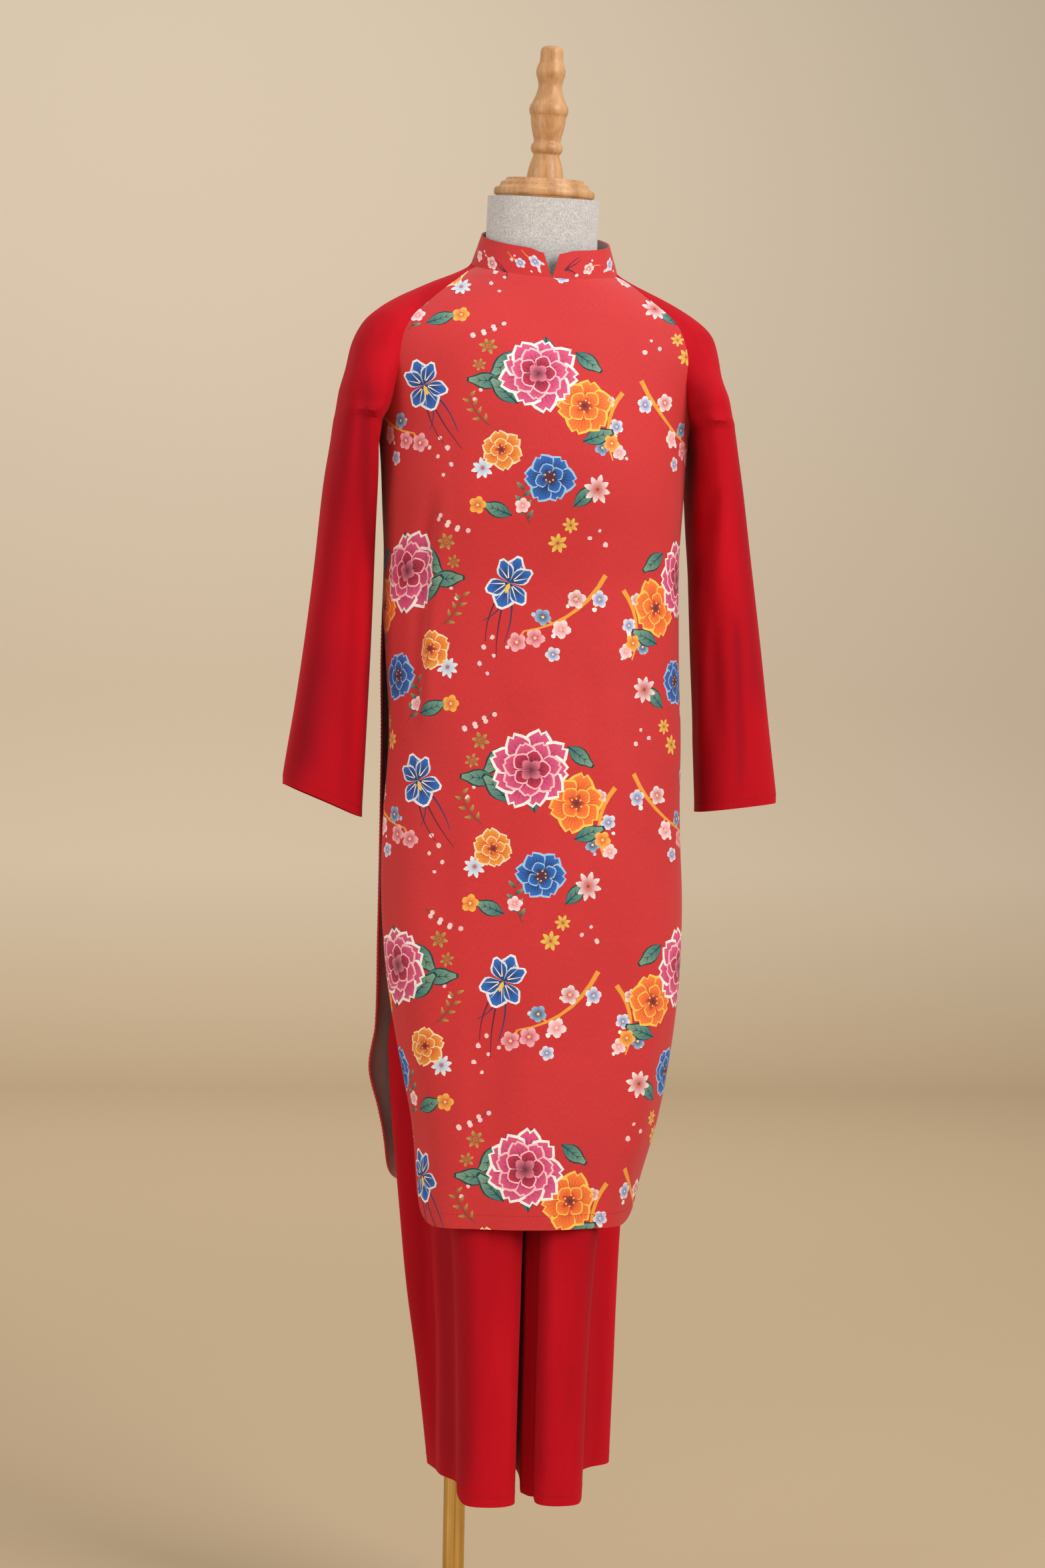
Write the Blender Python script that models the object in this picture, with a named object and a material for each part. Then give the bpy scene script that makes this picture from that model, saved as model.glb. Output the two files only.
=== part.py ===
"""Ao dai, tunic and velvet trousers, on a limbless dress form with a pole stand.

Metres, +Z up. The origin is the centre of the base's underside, on the pole's axis.
The garment's front faces -Y and +X is the viewer's right.
"""
import math
from collections import namedtuple

import bmesh
import bpy
from mathutils import Matrix, Vector

# Driving dimensions
MM = 0.001
CENTRE_X = 68 * MM          # the garment's centre plane; the pole stands to one side of it
CLOTH = 1.5 * MM
SEAM_INSET = 0.2 * MM       # each piece stops this far short of its seam
TOUCH = 0.3 * MM

SQUARENESS = 2.3            # 2 is an ellipse; the body's sections are a little fuller

UNDERARM = 1.262
SLIT_TOP = 1.080
NECKLINE = 1.4245           # mean height of the collar's lower edge
NECKLINE_TILT = 0.0185      # the front lies this much lower and the back as much higher
NECK_HALF_WIDTH = 0.0735
NECK_HALF_DEPTH = 0.057
NECK_Y = -0.005
COLLAR_HEIGHT = 0.029
COLLAR_TOP_HALF_WIDTH = 0.0640
COLLAR_TOP_HALF_DEPTH = 0.0495
COLLAR_TOP_Y = -0.010
NOTCH_ANGLE = 7.0           # degrees from the centre front to the collar's top corner

YOKE_ROWS = 9
CHEST_ROWS = 6
SKIRT_ROWS = 11
FRONT_HALF_COLUMNS = 9
BACK_COLUMNS = 9
SLEEVE_COLUMNS = 18
SLEEVE_ROWS = 13
COLLAR_ROWS = 2
SHELL_COLUMNS = 14
INSEAM_COLUMNS = 7
HIP_ROWS = 6
LEG_ROWS = 11

FRONT_HEM = 0.462
BACK_HEM = 0.484
CORNER_RADIUS = 0.062
CORNER_START = 0.62         # share of the half width where the hem starts to round up

WAIST_TOP = 1.072
WAISTBAND_HEIGHT = 0.028
CROTCH = 0.800
CROTCH_DIP = 28 * MM          # the crotch seam hangs this much lower between the legs
TROUSER_HEM = 0.187
INSEAM_CLEARANCE = 4 * MM     # each leg's inner wall from the garment's centre

TORSO_BOTTOM = 0.840
NECK_TOP = 1.4945
NECK_LEAN = math.radians(9.0)     # the neck leans forward
NECK_SIDE_LEAN = math.radians(1.1)
POLE_RADIUS = 0.011
BASE_RADIUS = 0.180
BASE_THICKNESS = 0.012
BASE_EDGE = 3               # the chamfer round the base's rim, mm
BASE_SIDES = 40
HUB_RADIUS = 0.021
HUB_TOP = 0.047
SOCKET_FLOOR = 0.020
ROUND_SIDES = 24

# Body sections in mm from the garment's centre: the cloth's inner side.
# Over the underarm they take in the sleeve heads.
Body = namedtuple("Body", "z half_width front back shift")
BODY = [
    Body(1070, 150, 105, 92, -6),
    Body(1105, 149, 107, 91, -6),
    Body(1140, 149, 113, 92, -6),
    Body(1180, 151, 120, 97, -6),
    Body(1220, 153, 122, 101, -6),
    Body(1245, 155, 120, 104, -6),
    Body(1262, 157, 118, 105, -6),
    Body(1300, 172, 110, 105, -6),
    Body(1335, 188, 100, 102, -4),
    Body(1357, 187, 91, 98, -1),
    Body(1370, 180, 86, 94, 2),
    Body(1383, 167, 80, 89, 3),
    Body(1395, 150, 74, 83, 3),
    Body(1407, 128, 68, 75, 3),
    Body(1416, 108, 63, 69, 2),
    Body(1425, 84, 59, 62, 2),
    Body(1445, 71, 52, 55, 2),
]
SIDE_TILT = 0.035           # the shoulders and neck drop this much towards the viewer's right

# The raglan seam's place round the body section, in degrees from the centre front
Seam = namedtuple("Seam", "z angle")
RAGLAN = [
    Seam(1262, 90), Seam(1272, 70), Seam(1300, 56), Seam(1320, 50.5), Seam(1340, 47),
    Seam(1360, 45.5), Seam(1380, 44.5), Seam(1404, 48), Seam(1416, 58), Seam(1425, 72),
]
RING_SEAM = 72.0

# Sleeve sections in mm, outward distance from the garment's centre
Sleeve = namedtuple("Sleeve", "z outer inner front back")
SLEEVE_LEFT = [
    Sleeve(890, 253, 176, 54, 50),
    Sleeve(960, 243, 173, 55, 52),
    Sleeve(1040, 234, 170, 57, 55),
    Sleeve(1120, 225.5, 168, 60, 58),
    Sleeve(1200, 217.5, 167, 64, 62),
    Sleeve(1245, 211, 168, 66, 65),
    Sleeve(1262, 209, 168, 67, 66),
    Sleeve(1312, 201, 156, 68, 70),
    Sleeve(1336, 195, 146, 66, 72),
    Sleeve(1380, 168, 118, 60, 70),
]
SLEEVE_RIGHT = [
    Sleeve(890, 248, 170, 54, 50),
    Sleeve(960, 239, 167, 55, 52),
    Sleeve(1040, 229.5, 163, 57, 55),
    Sleeve(1120, 219, 160, 60, 58),
    Sleeve(1200, 207.5, 157, 64, 62),
    Sleeve(1245, 200, 157, 66, 65),
    Sleeve(1262, 197, 157, 67, 66),
    Sleeve(1312, 188, 149, 68, 70),
    Sleeve(1336, 182, 140, 66, 72),
    Sleeve(1380, 160, 113, 60, 70),
]
CUFF = 0.880
CUFF_SLOPE = {-1: 0.42, 1: 0.14}    # the inner side of each cuff hangs lower
UNDERARM_STEP = 4.5 * MM            # the sleeve's underarm point stands off the side seam

# Free panels under the slits, mm from the centre: the edges and how far they lie back
Panel = namedtuple("Panel", "z left right face_y left_y right_y")
FRONT_PANEL = [
    Panel(430, 108, 98, -116, -60, -44),
    Panel(500, 110, 113, -115, -56, -40),
    Panel(560, 115, 131, -114, -52, -36),
    Panel(620, 127, 142, -113, -46, -34),
    Panel(700, 141, 151, -112, -40, -32),
    Panel(780, 148, 154, -110, -34, -28),
    Panel(860, 148, 152, -108, -28, -22),
    Panel(950, 143, 153, -106, -22, -14),
    Panel(1020, 146, 151, -105, -10, -6),
    Panel(1080, 150, 150, -105.5, 0, 0),
]
BACK_PANEL = [
    Panel(430, 126, 112, 118, 62, 70),
    Panel(522, 133, 118, 117, 54, 64),
    Panel(563, 141, 126, 116, 50, 60),
    Panel(605, 152, 132, 116, 47, 56),
    Panel(650, 146, 136, 115, 44, 52),
    Panel(740, 146, 144, 114, 38, 44),
    Panel(860, 147, 147, 112, 28, 32),
    Panel(950, 148, 149, 107, 18, 20),
    Panel(1020, 150, 150, 98, 7, 8),
    Panel(1080, 150, 150, 91.5, 0, 0),
]

# Soft vertical folds of the panels: place across the half width, -1 left to 1 right
Fold = namedtuple("Fold", "place width depth top")
FRONT_FOLDS = [
    Fold(-0.80, 0.14, 7, 1.16),
    Fold(-0.28, 0.16, 5, 0.90),
    Fold(0.30, 0.18, 6, 0.95),
    Fold(0.74, 0.13, 4, 0.85),
]
BACK_FOLDS = [
    Fold(-0.62, 0.16, 8, 1.00),
    Fold(-0.18, 0.14, 5, 0.92),
    Fold(0.34, 0.17, 7, 0.98),
    Fold(0.76, 0.12, 5, 0.86),
]
# Sleeve folds: place round the tube from the inner side (0) over the front (0.25) to 1
SleeveFold = namedtuple("SleeveFold", "place drift width depth low high")
SLEEVE_FOLDS = {
    -1: [SleeveFold(0.20, -0.05, 0.055, 7, 0.90, 1.345), SleeveFold(0.70, 0.03, 0.06, 6, 0.92, 1.30)],
    1: [SleeveFold(0.13, 0.05, 0.05, 6, 0.93, 1.26), SleeveFold(0.74, -0.04, 0.06, 6, 0.92, 1.30)],
}

# Trouser legs, mm from the centre: the side lobe, the front fold and the inseam
Leg = namedtuple("Leg", "z side fold_outer inner front back")
LEG_LEFT = [
    Leg(187, 91, 63, 8, 101, 96),
    Leg(300, 103, 71, 7, 101, 98),
    Leg(380, 115, 78, 6, 101, 99),
    Leg(450, 123, 83, 5, 101, 100),
    Leg(580, 136, 91, 3, 100, 101),
    Leg(700, 142, 104, 2, 99, 101),
    Leg(800, 143, 118, 0, 98, 101),
]
LEG_RIGHT = [
    Leg(187, 95, 66, 14, 99, 96),
    Leg(300, 98, 70, 12, 100, 98),
    Leg(380, 100, 74, 10, 100, 99),
    Leg(450, 103, 78, 8, 100, 100),
    Leg(580, 113, 88, 5, 100, 101),
    Leg(700, 126, 104, 3, 99, 101),
    Leg(800, 136, 118, 0, 98, 101),
]
# The trousers' hips; their band lies on the form, whose waist rows it follows
BAND_EASE = 0.4
LOW_WAIST = Body(1044, 127, 89.2, 84.8, -1.5)
HIGH_WAIST = Body(1072, 125, 87, 81, -2)
HIPS = [
    Body(800, 137, 98, 101, 0),
    Body(880, 138, 99, 103, 0),
    Body(960, 138, 100, 100, 0),
    Body(1010, 134, 96, 93, -1),
    Body(1044, *[size + BAND_EASE for size in LOW_WAIST[1:4]], LOW_WAIST.shift),
    Body(1072, *[size + BAND_EASE for size in HIGH_WAIST[1:4]], HIGH_WAIST.shift),
]
FORM_SQUARENESS = 2.2
FULL_LEG_HEIGHT = 0.620      # the leg's own folds are full from here down

# The form's sections in mm
TORSO = [
    Body(840, 112, 76, 80, 0),
    Body(850, 122, 84, 88, 0),
    Body(875, 129, 90, 94, 0),
    Body(920, 133, 94, 98, 0),
    Body(970, 132, 95, 95, 0),
    Body(1020, 129, 91, 88, -1),
    LOW_WAIST,
    HIGH_WAIST,
    Body(1120, 122, 87, 79, -3),
    Body(1175, 131, 98, 84, -4),
    Body(1230, 142, 110, 92, -4),
    Body(1280, 148, 104, 96, -4),
    Body(1320, 152, 93, 94, -4),
    Body(1348, 152, 82, 88, -4),
    Body(1368, 138, 73, 80, -3),
    Body(1386, 110, 60, 68, -2),
    Body(1402, 80, 49, 57, -1),
    Body(1420, 60, 44, 48, -2),
    Body(1450, 57, 46, 46, -3),
    Body(1494.5, 57, 48, 48, -3),
]
NECK_START = 1.400

# Turned profiles: height over the cap's top and radius, mm
Turn = namedtuple("Turn", "z radius")
FINIAL = [
    Turn(0.3, 0), Turn(0.3, 18.8), Turn(5, 18.4), Turn(14, 16.6), Turn(22, 13.6), Turn(25, 13),
    Turn(27, 15.4), Turn(31, 16.5), Turn(35, 15.4), Turn(37, 13), Turn(46, 15.4), Turn(55, 17.4),
    Turn(63, 18), Turn(65, 19.4), Turn(69, 20), Turn(73, 19.2), Turn(75, 17.6), Turn(84, 13.6),
    Turn(92, 11.6), Turn(98, 12.8), Turn(106, 15.5), Turn(113, 13.4), Turn(117, 11.5),
    Turn(128, 11.5), Turn(131, 9.4), Turn(132, 6), Turn(132, 0),
]
CAP = [
    Turn(-19, 0), Turn(-19, 48.5), Turn(-17, 49.2), Turn(-17, 51), Turn(-14, 51.5), Turn(-10, 50.6),
    Turn(-8.5, 46), Turn(-6.5, 45), Turn(-4, 44.4), Turn(-2.5, 40), Turn(0, 39), Turn(0, 0),
]


def smooth(value, low, high):
    """0 at low, 1 at high, with a soft start and end."""
    share = min(max((value - low) / (high - low), 0.0), 1.0)
    return share * share * (3 - 2 * share)


def read(table, z):
    """The table's row at height z in metres, eased between rows, with its lengths in metres."""
    height = z / MM
    rows = sorted(table, key=lambda row: row.z)
    height = min(max(height, rows[0].z), rows[-1].z)
    index = max(i for i, row in enumerate(rows[:-1]) if row.z <= height)
    low, high = rows[index], rows[index + 1]
    before, after = rows[max(index - 1, 0)], rows[min(index + 2, len(rows) - 1)]
    step = high.z - low.z
    share = (height - low.z) / step
    values = []
    for a, b, c, d in zip(before, low, high, after):
        start = (c - a) / (high.z - before.z) * step
        end = (d - b) / (after.z - low.z) * step
        values.append((2 * share ** 3 - 3 * share ** 2 + 1) * b + (share ** 3 - 2 * share ** 2 + share) * start
                      + (3 * share ** 2 - 2 * share ** 3) * c + (share ** 3 - share ** 2) * end)
    return type(low)(*[value * MM for value in values])


def rounded(angle, squareness=SQUARENESS):
    """Sine and cosine of a fuller ellipse, angle in degrees from the front."""
    sine = math.sin(math.radians(angle))
    cosine = math.cos(math.radians(angle))
    power = 2 / squareness
    return (math.copysign(abs(sine) ** power, sine), math.copysign(abs(cosine) ** power, cosine))


def body_point(z, angle):
    row = read(BODY, z)
    across, ahead = rounded(angle)
    depth = row.front if ahead > 0 else row.back
    return Vector((CENTRE_X + row.shift + row.half_width * across, -depth * ahead, z))


def ring_point(angle, half_width, half_depth, centre_y, z):
    """A point on the collar's lower or upper edge."""
    turn = math.radians(angle)
    across = half_width * math.sin(turn)
    return Vector((CENTRE_X + read(BODY, z).shift + across, centre_y - half_depth * math.cos(turn),
                   z - NECKLINE_TILT * math.cos(turn) - SIDE_TILT * across))


def garment_angles(q, z):
    """Angles round the collar and the body; q runs 0-1 front, 1-2 sleeve, 2-3 back."""
    seam = read(RAGLAN, z).angle / MM
    if q <= 1:
        return q * RING_SEAM, q * seam
    if q <= 2:
        return (RING_SEAM + (q - 1) * (180 - 2 * RING_SEAM), seam + (q - 1) * (180 - 2 * seam))
    return 180 - (3 - q) * RING_SEAM, 180 - (3 - q) * seam


def sleeve_loop(side, z, turn):
    """The sleeve's section; turn runs 0-1 from the inner side over the front."""
    row = read(SLEEVE_LEFT if side < 0 else SLEEVE_RIGHT, z)
    middle = (row.outer + row.inner) / 2
    half = (row.outer - row.inner) / 2
    sine, cosine = rounded(turn * 360)
    depth = row.front if sine > 0 else row.back
    point = Vector((CENTRE_X + side * (middle - half * cosine), -depth * sine, z))
    centre = Vector((CENTRE_X + side * middle, 0, z))
    outward = (point - centre).normalized()
    for fold in SLEEVE_FOLDS[side]:
        place = fold.place + fold.drift * (UNDERARM - z) / (UNDERARM - CUFF)
        share = math.exp(-((turn - place) / fold.width) ** 2)
        reach = smooth(z, fold.low - 0.05, fold.low + 0.1) * (1 - smooth(z, fold.high - 0.09, fold.high))
        point -= outward * fold.depth * MM * share * reach
    return point


def yoke_point(side, q, v):
    """The tunic over the underarm; v runs 0 at the collar to 1 at the underarm."""
    level = NECKLINE - (NECKLINE - UNDERARM) * v ** 1.35
    around, angle = garment_angles(q, level)
    z = level - NECKLINE_TILT * math.cos(math.radians(around)) * (1 - v) ** 2
    point = body_point(z, side * angle)
    ring = ring_point(side * around, NECK_HALF_WIDTH, NECK_HALF_DEPTH, NECK_Y, NECKLINE)
    near = (1 - v) ** 4
    point.x += (ring.x - point.x) * near
    point.y += (ring.y - point.y) * near
    if 1 < q < 2:
        hang = 1 - smooth(level, 1.290, 1.385)
        start = 85 * smooth(level, UNDERARM, 1.375) / 360
        turn = start + (q - 1) * (1 - 2 * start)
        tube = sleeve_loop(side, z, turn)
        first = sleeve_loop(side, z, start)
        last = sleeve_loop(side, z, 1 - start)
        seam_front = yoke_point(side, 1, v)
        seam_back = yoke_point(side, 2, v)
        tube += (seam_front - first) * (2 - q) ** 4 + (seam_back - last) * (q - 1) ** 4
        point = point.lerp(tube, hang)
        point.z = z
    point.z -= SIDE_TILT * (point.x - CENTRE_X) * smooth(level, UNDERARM, 1.36)
    return point


def sleeve_tube_point(side, turn, w):
    """The sleeve under the underarm; w runs 0 at the underarm to 1 at the cuff."""
    z = UNDERARM + (CUFF - UNDERARM) * w
    point = sleeve_loop(side, z, turn)
    row = read(SLEEVE_LEFT if side < 0 else SLEEVE_RIGHT, z)
    middle = CENTRE_X + side * (row.outer + row.inner) / 2
    slope = CUFF_SLOPE[side] * smooth(w, 0.35, 1.0)
    point.z = z - slope * side * (middle - point.x)
    if turn in (0, 1):
        point.z -= 2 * MM * (1 - w)
    return point


def corner_rise(share):
    """How far the hem rises at a panel's rounded corner."""
    reach = min(max((abs(share) - CORNER_START) / (1 - CORNER_START), 0), 1)
    return CORNER_RADIUS * (1 - math.sqrt(1 - reach ** 2 * 0.98))


def free_panel_point(table, folds, hem, share, w):
    """A free panel; share runs -1 left to 1 right, w runs 0 at the slit's top to 1 at the hem."""
    z = SLIT_TOP + (hem + corner_rise(share) - SLIT_TOP) * w
    row = read(table, z)
    across, ahead = rounded(90 * abs(share))
    width = row.left if share < 0 else row.right
    edge_y = row.left_y if share < 0 else row.right_y
    shift = read(BODY, z).shift
    y = edge_y + (row.face_y - edge_y) * ahead
    return Vector((CENTRE_X + shift + math.copysign(width * across, share), y + fold_depth(folds, share, z, row), z))


def fold_depth(folds, share, z, row):
    """Soft troughs that deepen towards the hem, pressed in from the panel's face."""
    inward = -math.copysign(1, row.face_y)
    total = 0
    for fold in folds:
        reach = 1 - smooth(z, fold.top - 0.30, fold.top)
        near_edge = 1 - smooth(abs(share), 0.88, 1.0)
        total += fold.depth * MM * reach * near_edge * math.exp(-((share - fold.place) / fold.width) ** 2)
    return inward * total


def chest_point(share, z, front):
    """The closed part of the tunic's body from the underarm to the slits."""
    angle = 90 * share if front else 180 - 90 * share
    return body_point(z, angle)


class Sheet:
    """A cloth piece: its inner side's points and quads, before it gets its thickness."""

    def __init__(self, name):
        self.name = name
        self.points = []
        self.index = {}
        self.faces = []

    def add(self, point):
        key = point_key(point)
        if key not in self.index:
            self.index[key] = len(self.points)
            self.points.append(point.copy())
        return self.index[key]

    def grid(self, rows, flip=False):
        """Quads over rows of points; flip turns them over."""
        numbers = [[self.add(point) for point in row] for row in rows]
        for upper, lower in zip(numbers, numbers[1:]):
            for i in range(len(upper) - 1):
                corners = [upper[i], lower[i], lower[i + 1], upper[i + 1]]
                corners = [c for k, c in enumerate(corners) if c != corners[k - 1]]
                if len(set(corners)) > 2:
                    self.faces.append(corners[::-1] if flip else corners)


def point_key(point):
    return tuple(round(value * 1e5) for value in point)


def face_normal(points, face):
    total = Vector((0, 0, 0))
    for i in range(1, len(face) - 1):
        total += (points[face[i]] - points[face[0]]).cross(points[face[i + 1]] - points[face[0]])
    return total.normalized()


def halves(points, face):
    """A quad's two triangles, split on its shorter diagonal, the same on both sides of the cloth."""
    if len(face) == 3:
        return [list(face)]
    a, b, c, d = face
    if (points[a] - points[c]).length <= (points[b] - points[d]).length:
        return [[a, b, c], [a, c, d]]
    return [[a, b, d], [b, c, d]]


def give_thickness(sheets, material_of):
    """Turn the sheets into closed walls; pieces that share a seam share its direction too."""
    normals = {}
    users = {}
    for sheet in sheets:
        for face in sheet.faces:
            normal = face_normal(sheet.points, face)
            for i, corner in enumerate(face):
                point = sheet.points[corner]
                to_next = sheet.points[face[(i + 1) % len(face)]] - point
                to_last = sheet.points[face[i - 1]] - point
                key = point_key(point)
                normals[key] = normals.get(key, Vector((0, 0, 0))) + normal * to_next.angle(to_last, 0)
                users.setdefault(key, set()).add(sheet.name)
    for sheet in sheets:
        inner, outer = wall_points(sheet, normals, users)
        faces = [half for face in sheet.faces for half in halves(sheet.points, face)]
        count = len(inner)
        closed = [[corner + count for corner in face] for face in faces]
        closed += [face[::-1] for face in faces]
        edges = {}
        for face in faces:
            for a, b in zip(face, face[1:] + face[:1]):
                edges[(a, b)] = edges.get((a, b), 0) + 1
        for a, b in edges:
            if (b, a) not in edges:
                closed.append([a, b, b + count, a + count])
        add_object(sheet.name, inner + outer, closed, material_of[sheet.name])


def wall_points(sheet, normals, users):
    """Inner and outer points, drawn back from the seams."""
    toward = [Vector((0, 0, 0)) for _ in sheet.points]
    for face in sheet.faces:
        centre = sum((sheet.points[c] for c in face), Vector((0, 0, 0))) / len(face)
        for corner in face:
            toward[corner] += (centre - sheet.points[corner]).normalized()
    inner, outer = [], []
    for number, point in enumerate(sheet.points):
        key = point_key(point)
        normal = normals[key].normalized()
        start = point.copy()
        if len(users[key]) > 1:
            back = toward[number] - normal * toward[number].dot(normal)
            start += back.normalized() * SEAM_INSET
        inner.append(start)
        outer.append(start + normal * CLOTH)
    return inner, outer


def add_object(name, points, faces, material):
    mesh = bpy.data.meshes.new(name)
    mesh.from_pydata([tuple(point) for point in points], [], faces)
    mesh.materials.append(material)
    mesh.shade_smooth()
    item = bpy.data.objects.new(name, mesh)
    bpy.context.collection.objects.link(item)
    return item


def plain_material(name, colour, roughness, metallic=0.0):
    material = bpy.data.materials.new(name)
    material.use_nodes = True
    shader = material.node_tree.nodes["Principled BSDF"]
    shader.inputs["Base Color"].default_value = (*colour, 1)
    shader.inputs["Roughness"].default_value = roughness
    shader.inputs["Metallic"].default_value = metallic
    return material


def spread(count):
    return [i / count for i in range(count + 1)]


def tunic_sheets():
    """Front, two backs, two sleeves and two collar halves."""
    yoke = spread(YOKE_ROWS)
    chest = [UNDERARM + (SLIT_TOP - UNDERARM) * v for v in spread(CHEST_ROWS)][1:]
    skirt = spread(SKIRT_ROWS)[1:]
    halves = spread(FRONT_HALF_COLUMNS)

    front = Sheet("front_panel")
    across = [-q for q in reversed(halves)] + halves[1:]
    rows = [[yoke_point(-1 if q < 0 else 1, abs(q), v) for q in across] for v in yoke]
    rows += [[chest_point(q, z, True) for q in across] for z in chest]
    rows += [[free_panel_point(FRONT_PANEL, FRONT_FOLDS, FRONT_HEM, q, w) for q in across] for w in skirt]
    front.grid(rows)

    sheets = [front]
    for side, name in ((-1, "left"), (1, "right")):
        back = Sheet("back_panel_" + name)
        shares = spread(BACK_COLUMNS)
        rows = [[yoke_point(side, 2 + k, v) for k in shares] for v in yoke]
        rows += [[chest_point(side * (1 - k), z, False) for k in shares] for z in chest]
        rows += [[free_panel_point(BACK_PANEL, BACK_FOLDS, BACK_HEM, side * (1 - k), w) for k in shares]
                 for w in skirt]
        back.grid(rows, flip=side < 0)
        sheets.append(back)
        sheets.append(sleeve_sheet(side, name, yoke))
        sheets.append(collar_sheet(side, name))
    return sheets


def sleeve_sheet(side, name, yoke):
    sleeve = Sheet("sleeve_" + name)
    turns = spread(SLEEVE_COLUMNS)
    rows = [[yoke_point(side, 1 + u, v) for u in turns] for v in yoke[:-1]]
    sleeve.grid(rows, flip=side < 0)
    tube = [[sleeve_tube_point(side, u if u < 1 else 0, w) for u in turns] for w in spread(SLEEVE_ROWS)]
    underarm = yoke_point(side, 1, 1) + Vector((side * UNDERARM_STEP, 0, -2 * MM))
    tube[0][0] = underarm
    tube[0][-1] = underarm
    sleeve.grid([rows[-1]] + tube, flip=side < 0)
    return sleeve


def collar_sheet(side, name):
    """Half of the stand collar, from the notch at the front to the centre back."""
    collar = Sheet("collar_" + name)
    places = spread(FRONT_HALF_COLUMNS)
    places += [1 + k for k in spread(SLEEVE_COLUMNS)][1:]
    places += [2 + k for k in spread(BACK_COLUMNS)][1:]
    rows = []
    for rise in reversed(spread(COLLAR_ROWS)):
        row = []
        for q in places:
            around = garment_angles(q, NECKLINE)[0]
            lower = yoke_point(side, q, 0)
            start = NOTCH_ANGLE * rise
            turn = start + around * (180 - start) / 180
            width = NECK_HALF_WIDTH + (COLLAR_TOP_HALF_WIDTH - NECK_HALF_WIDTH) * rise
            depth = NECK_HALF_DEPTH + (COLLAR_TOP_HALF_DEPTH - NECK_HALF_DEPTH) * rise
            centre_y = NECK_Y + (COLLAR_TOP_Y - NECK_Y) * rise
            point = ring_point(side * turn, width, depth, centre_y, NECKLINE)
            point.z += COLLAR_HEIGHT * rise - 0.004 * rise * math.exp(-(around / 9) ** 2)
            row.append(point if rise else lower)
        rows.append(row)
    collar.grid(rows, flip=side < 0)
    return collar


def leg_outline(side, z):
    """Points round the leg in plan, from the inner front over the outer side to the inner back."""
    row = read(LEG_LEFT if side < 0 else LEG_RIGHT, z)
    return [
        (row.inner, -row.front * 0.50),
        (row.inner + (row.fold_outer - row.inner) * 0.12, -row.front * 0.86),
        ((row.inner + row.fold_outer) / 2, -row.front),
        (row.fold_outer * 0.97, -row.front * 0.84),
        (row.fold_outer, -row.front * 0.50),
        (row.fold_outer + (row.side - row.fold_outer) * 0.45, -row.front * 0.16),
        (row.side, row.back * 0.22),
        (row.side * 0.92, row.back * 0.66),
        (row.side * 0.62, row.back * 0.97),
        (row.side * 0.28, row.back * 0.97),
        (row.inner, row.back * 0.60),
    ]


def along(points, share):
    """A point on a soft curve through plan points, by share of their count."""
    place = share * (len(points) - 1)
    index = min(int(place), len(points) - 2)
    t = place - index
    before = points[max(index - 1, 0)]
    after = points[min(index + 2, len(points) - 1)]
    result = []
    for a, b, c, d in zip(before, points[index], points[index + 1], after):
        result.append(0.5 * (2 * b + (c - a) * t + (2 * a - 5 * b + 4 * c - d) * t * t
                             + (3 * b - a - 3 * c + d) * t ** 3))
    return result


def hip_point(side, angle, z):
    row = read(HIPS, z)
    across, ahead = rounded(angle, FORM_SQUARENESS)
    depth = row.front if ahead > 0 else row.back
    return Vector((CENTRE_X + row.shift + side * row.half_width * across, -depth * ahead, z))


def leg_point(side, share, z):
    """The leg's outer shell; share runs 0 at the centre front to 1 at the centre back."""
    shell = hip_point(side, 180 * share, max(z, CROTCH))
    across, y = along(leg_outline(side, z), share)
    fold = Vector((CENTRE_X + side * across, y, z))
    shell.z = z
    point = shell.lerp(fold, 1 - smooth(z, FULL_LEG_HEIGHT, CROTCH))
    if z < CROTCH:
        point.x = CENTRE_X + side * max(side * (point.x - CENTRE_X), INSEAM_CLEARANCE)
    return point


def inseam_point(side, share, z):
    """The leg's inner wall; share runs 0 at the back to 1 at the front."""
    back = leg_point(side, 1, z)
    front = leg_point(side, 0, z)
    point = back.lerp(front, share)
    if z < CROTCH:
        apart = INSEAM_CLEARANCE + 5 * MM * smooth(CROTCH - z, 0, 0.25) * math.sin(math.pi * share)
        point.x = CENTRE_X + side * max(side * (point.x - CENTRE_X), apart)
    dip = max(math.sin(math.pi * share), 0) ** 0.8 * (1 - smooth(CROTCH - z, 0, 0.2))
    point.z -= CROTCH_DIP * dip
    return point


def trouser_sheets():
    hips = [WAIST_TOP - WAISTBAND_HEIGHT + (CROTCH - WAIST_TOP + WAISTBAND_HEIGHT) * v for v in spread(HIP_ROWS)]
    lower = [CROTCH + (TROUSER_HEM - CROTCH) * v for v in spread(LEG_ROWS)]
    shares = spread(SHELL_COLUMNS)
    band = Sheet("waistband")
    sheets = [band]
    band_rows = [WAIST_TOP, WAIST_TOP - WAISTBAND_HEIGHT]
    for side, name in ((-1, "left"), (1, "right")):
        band.grid([[hip_point(side, 180 * k, z) for k in shares] for z in band_rows], flip=side < 0)
        leg = Sheet("leg_" + name)
        leg.grid([[leg_point(side, k, z) for k in shares] for z in hips + lower[1:]], flip=side < 0)
        inseam = [[inseam_point(side, k, z) for k in spread(INSEAM_COLUMNS)] for z in lower]
        leg.grid(inseam, flip=side < 0)
        sheets.append(leg)
    return sheets


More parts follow.
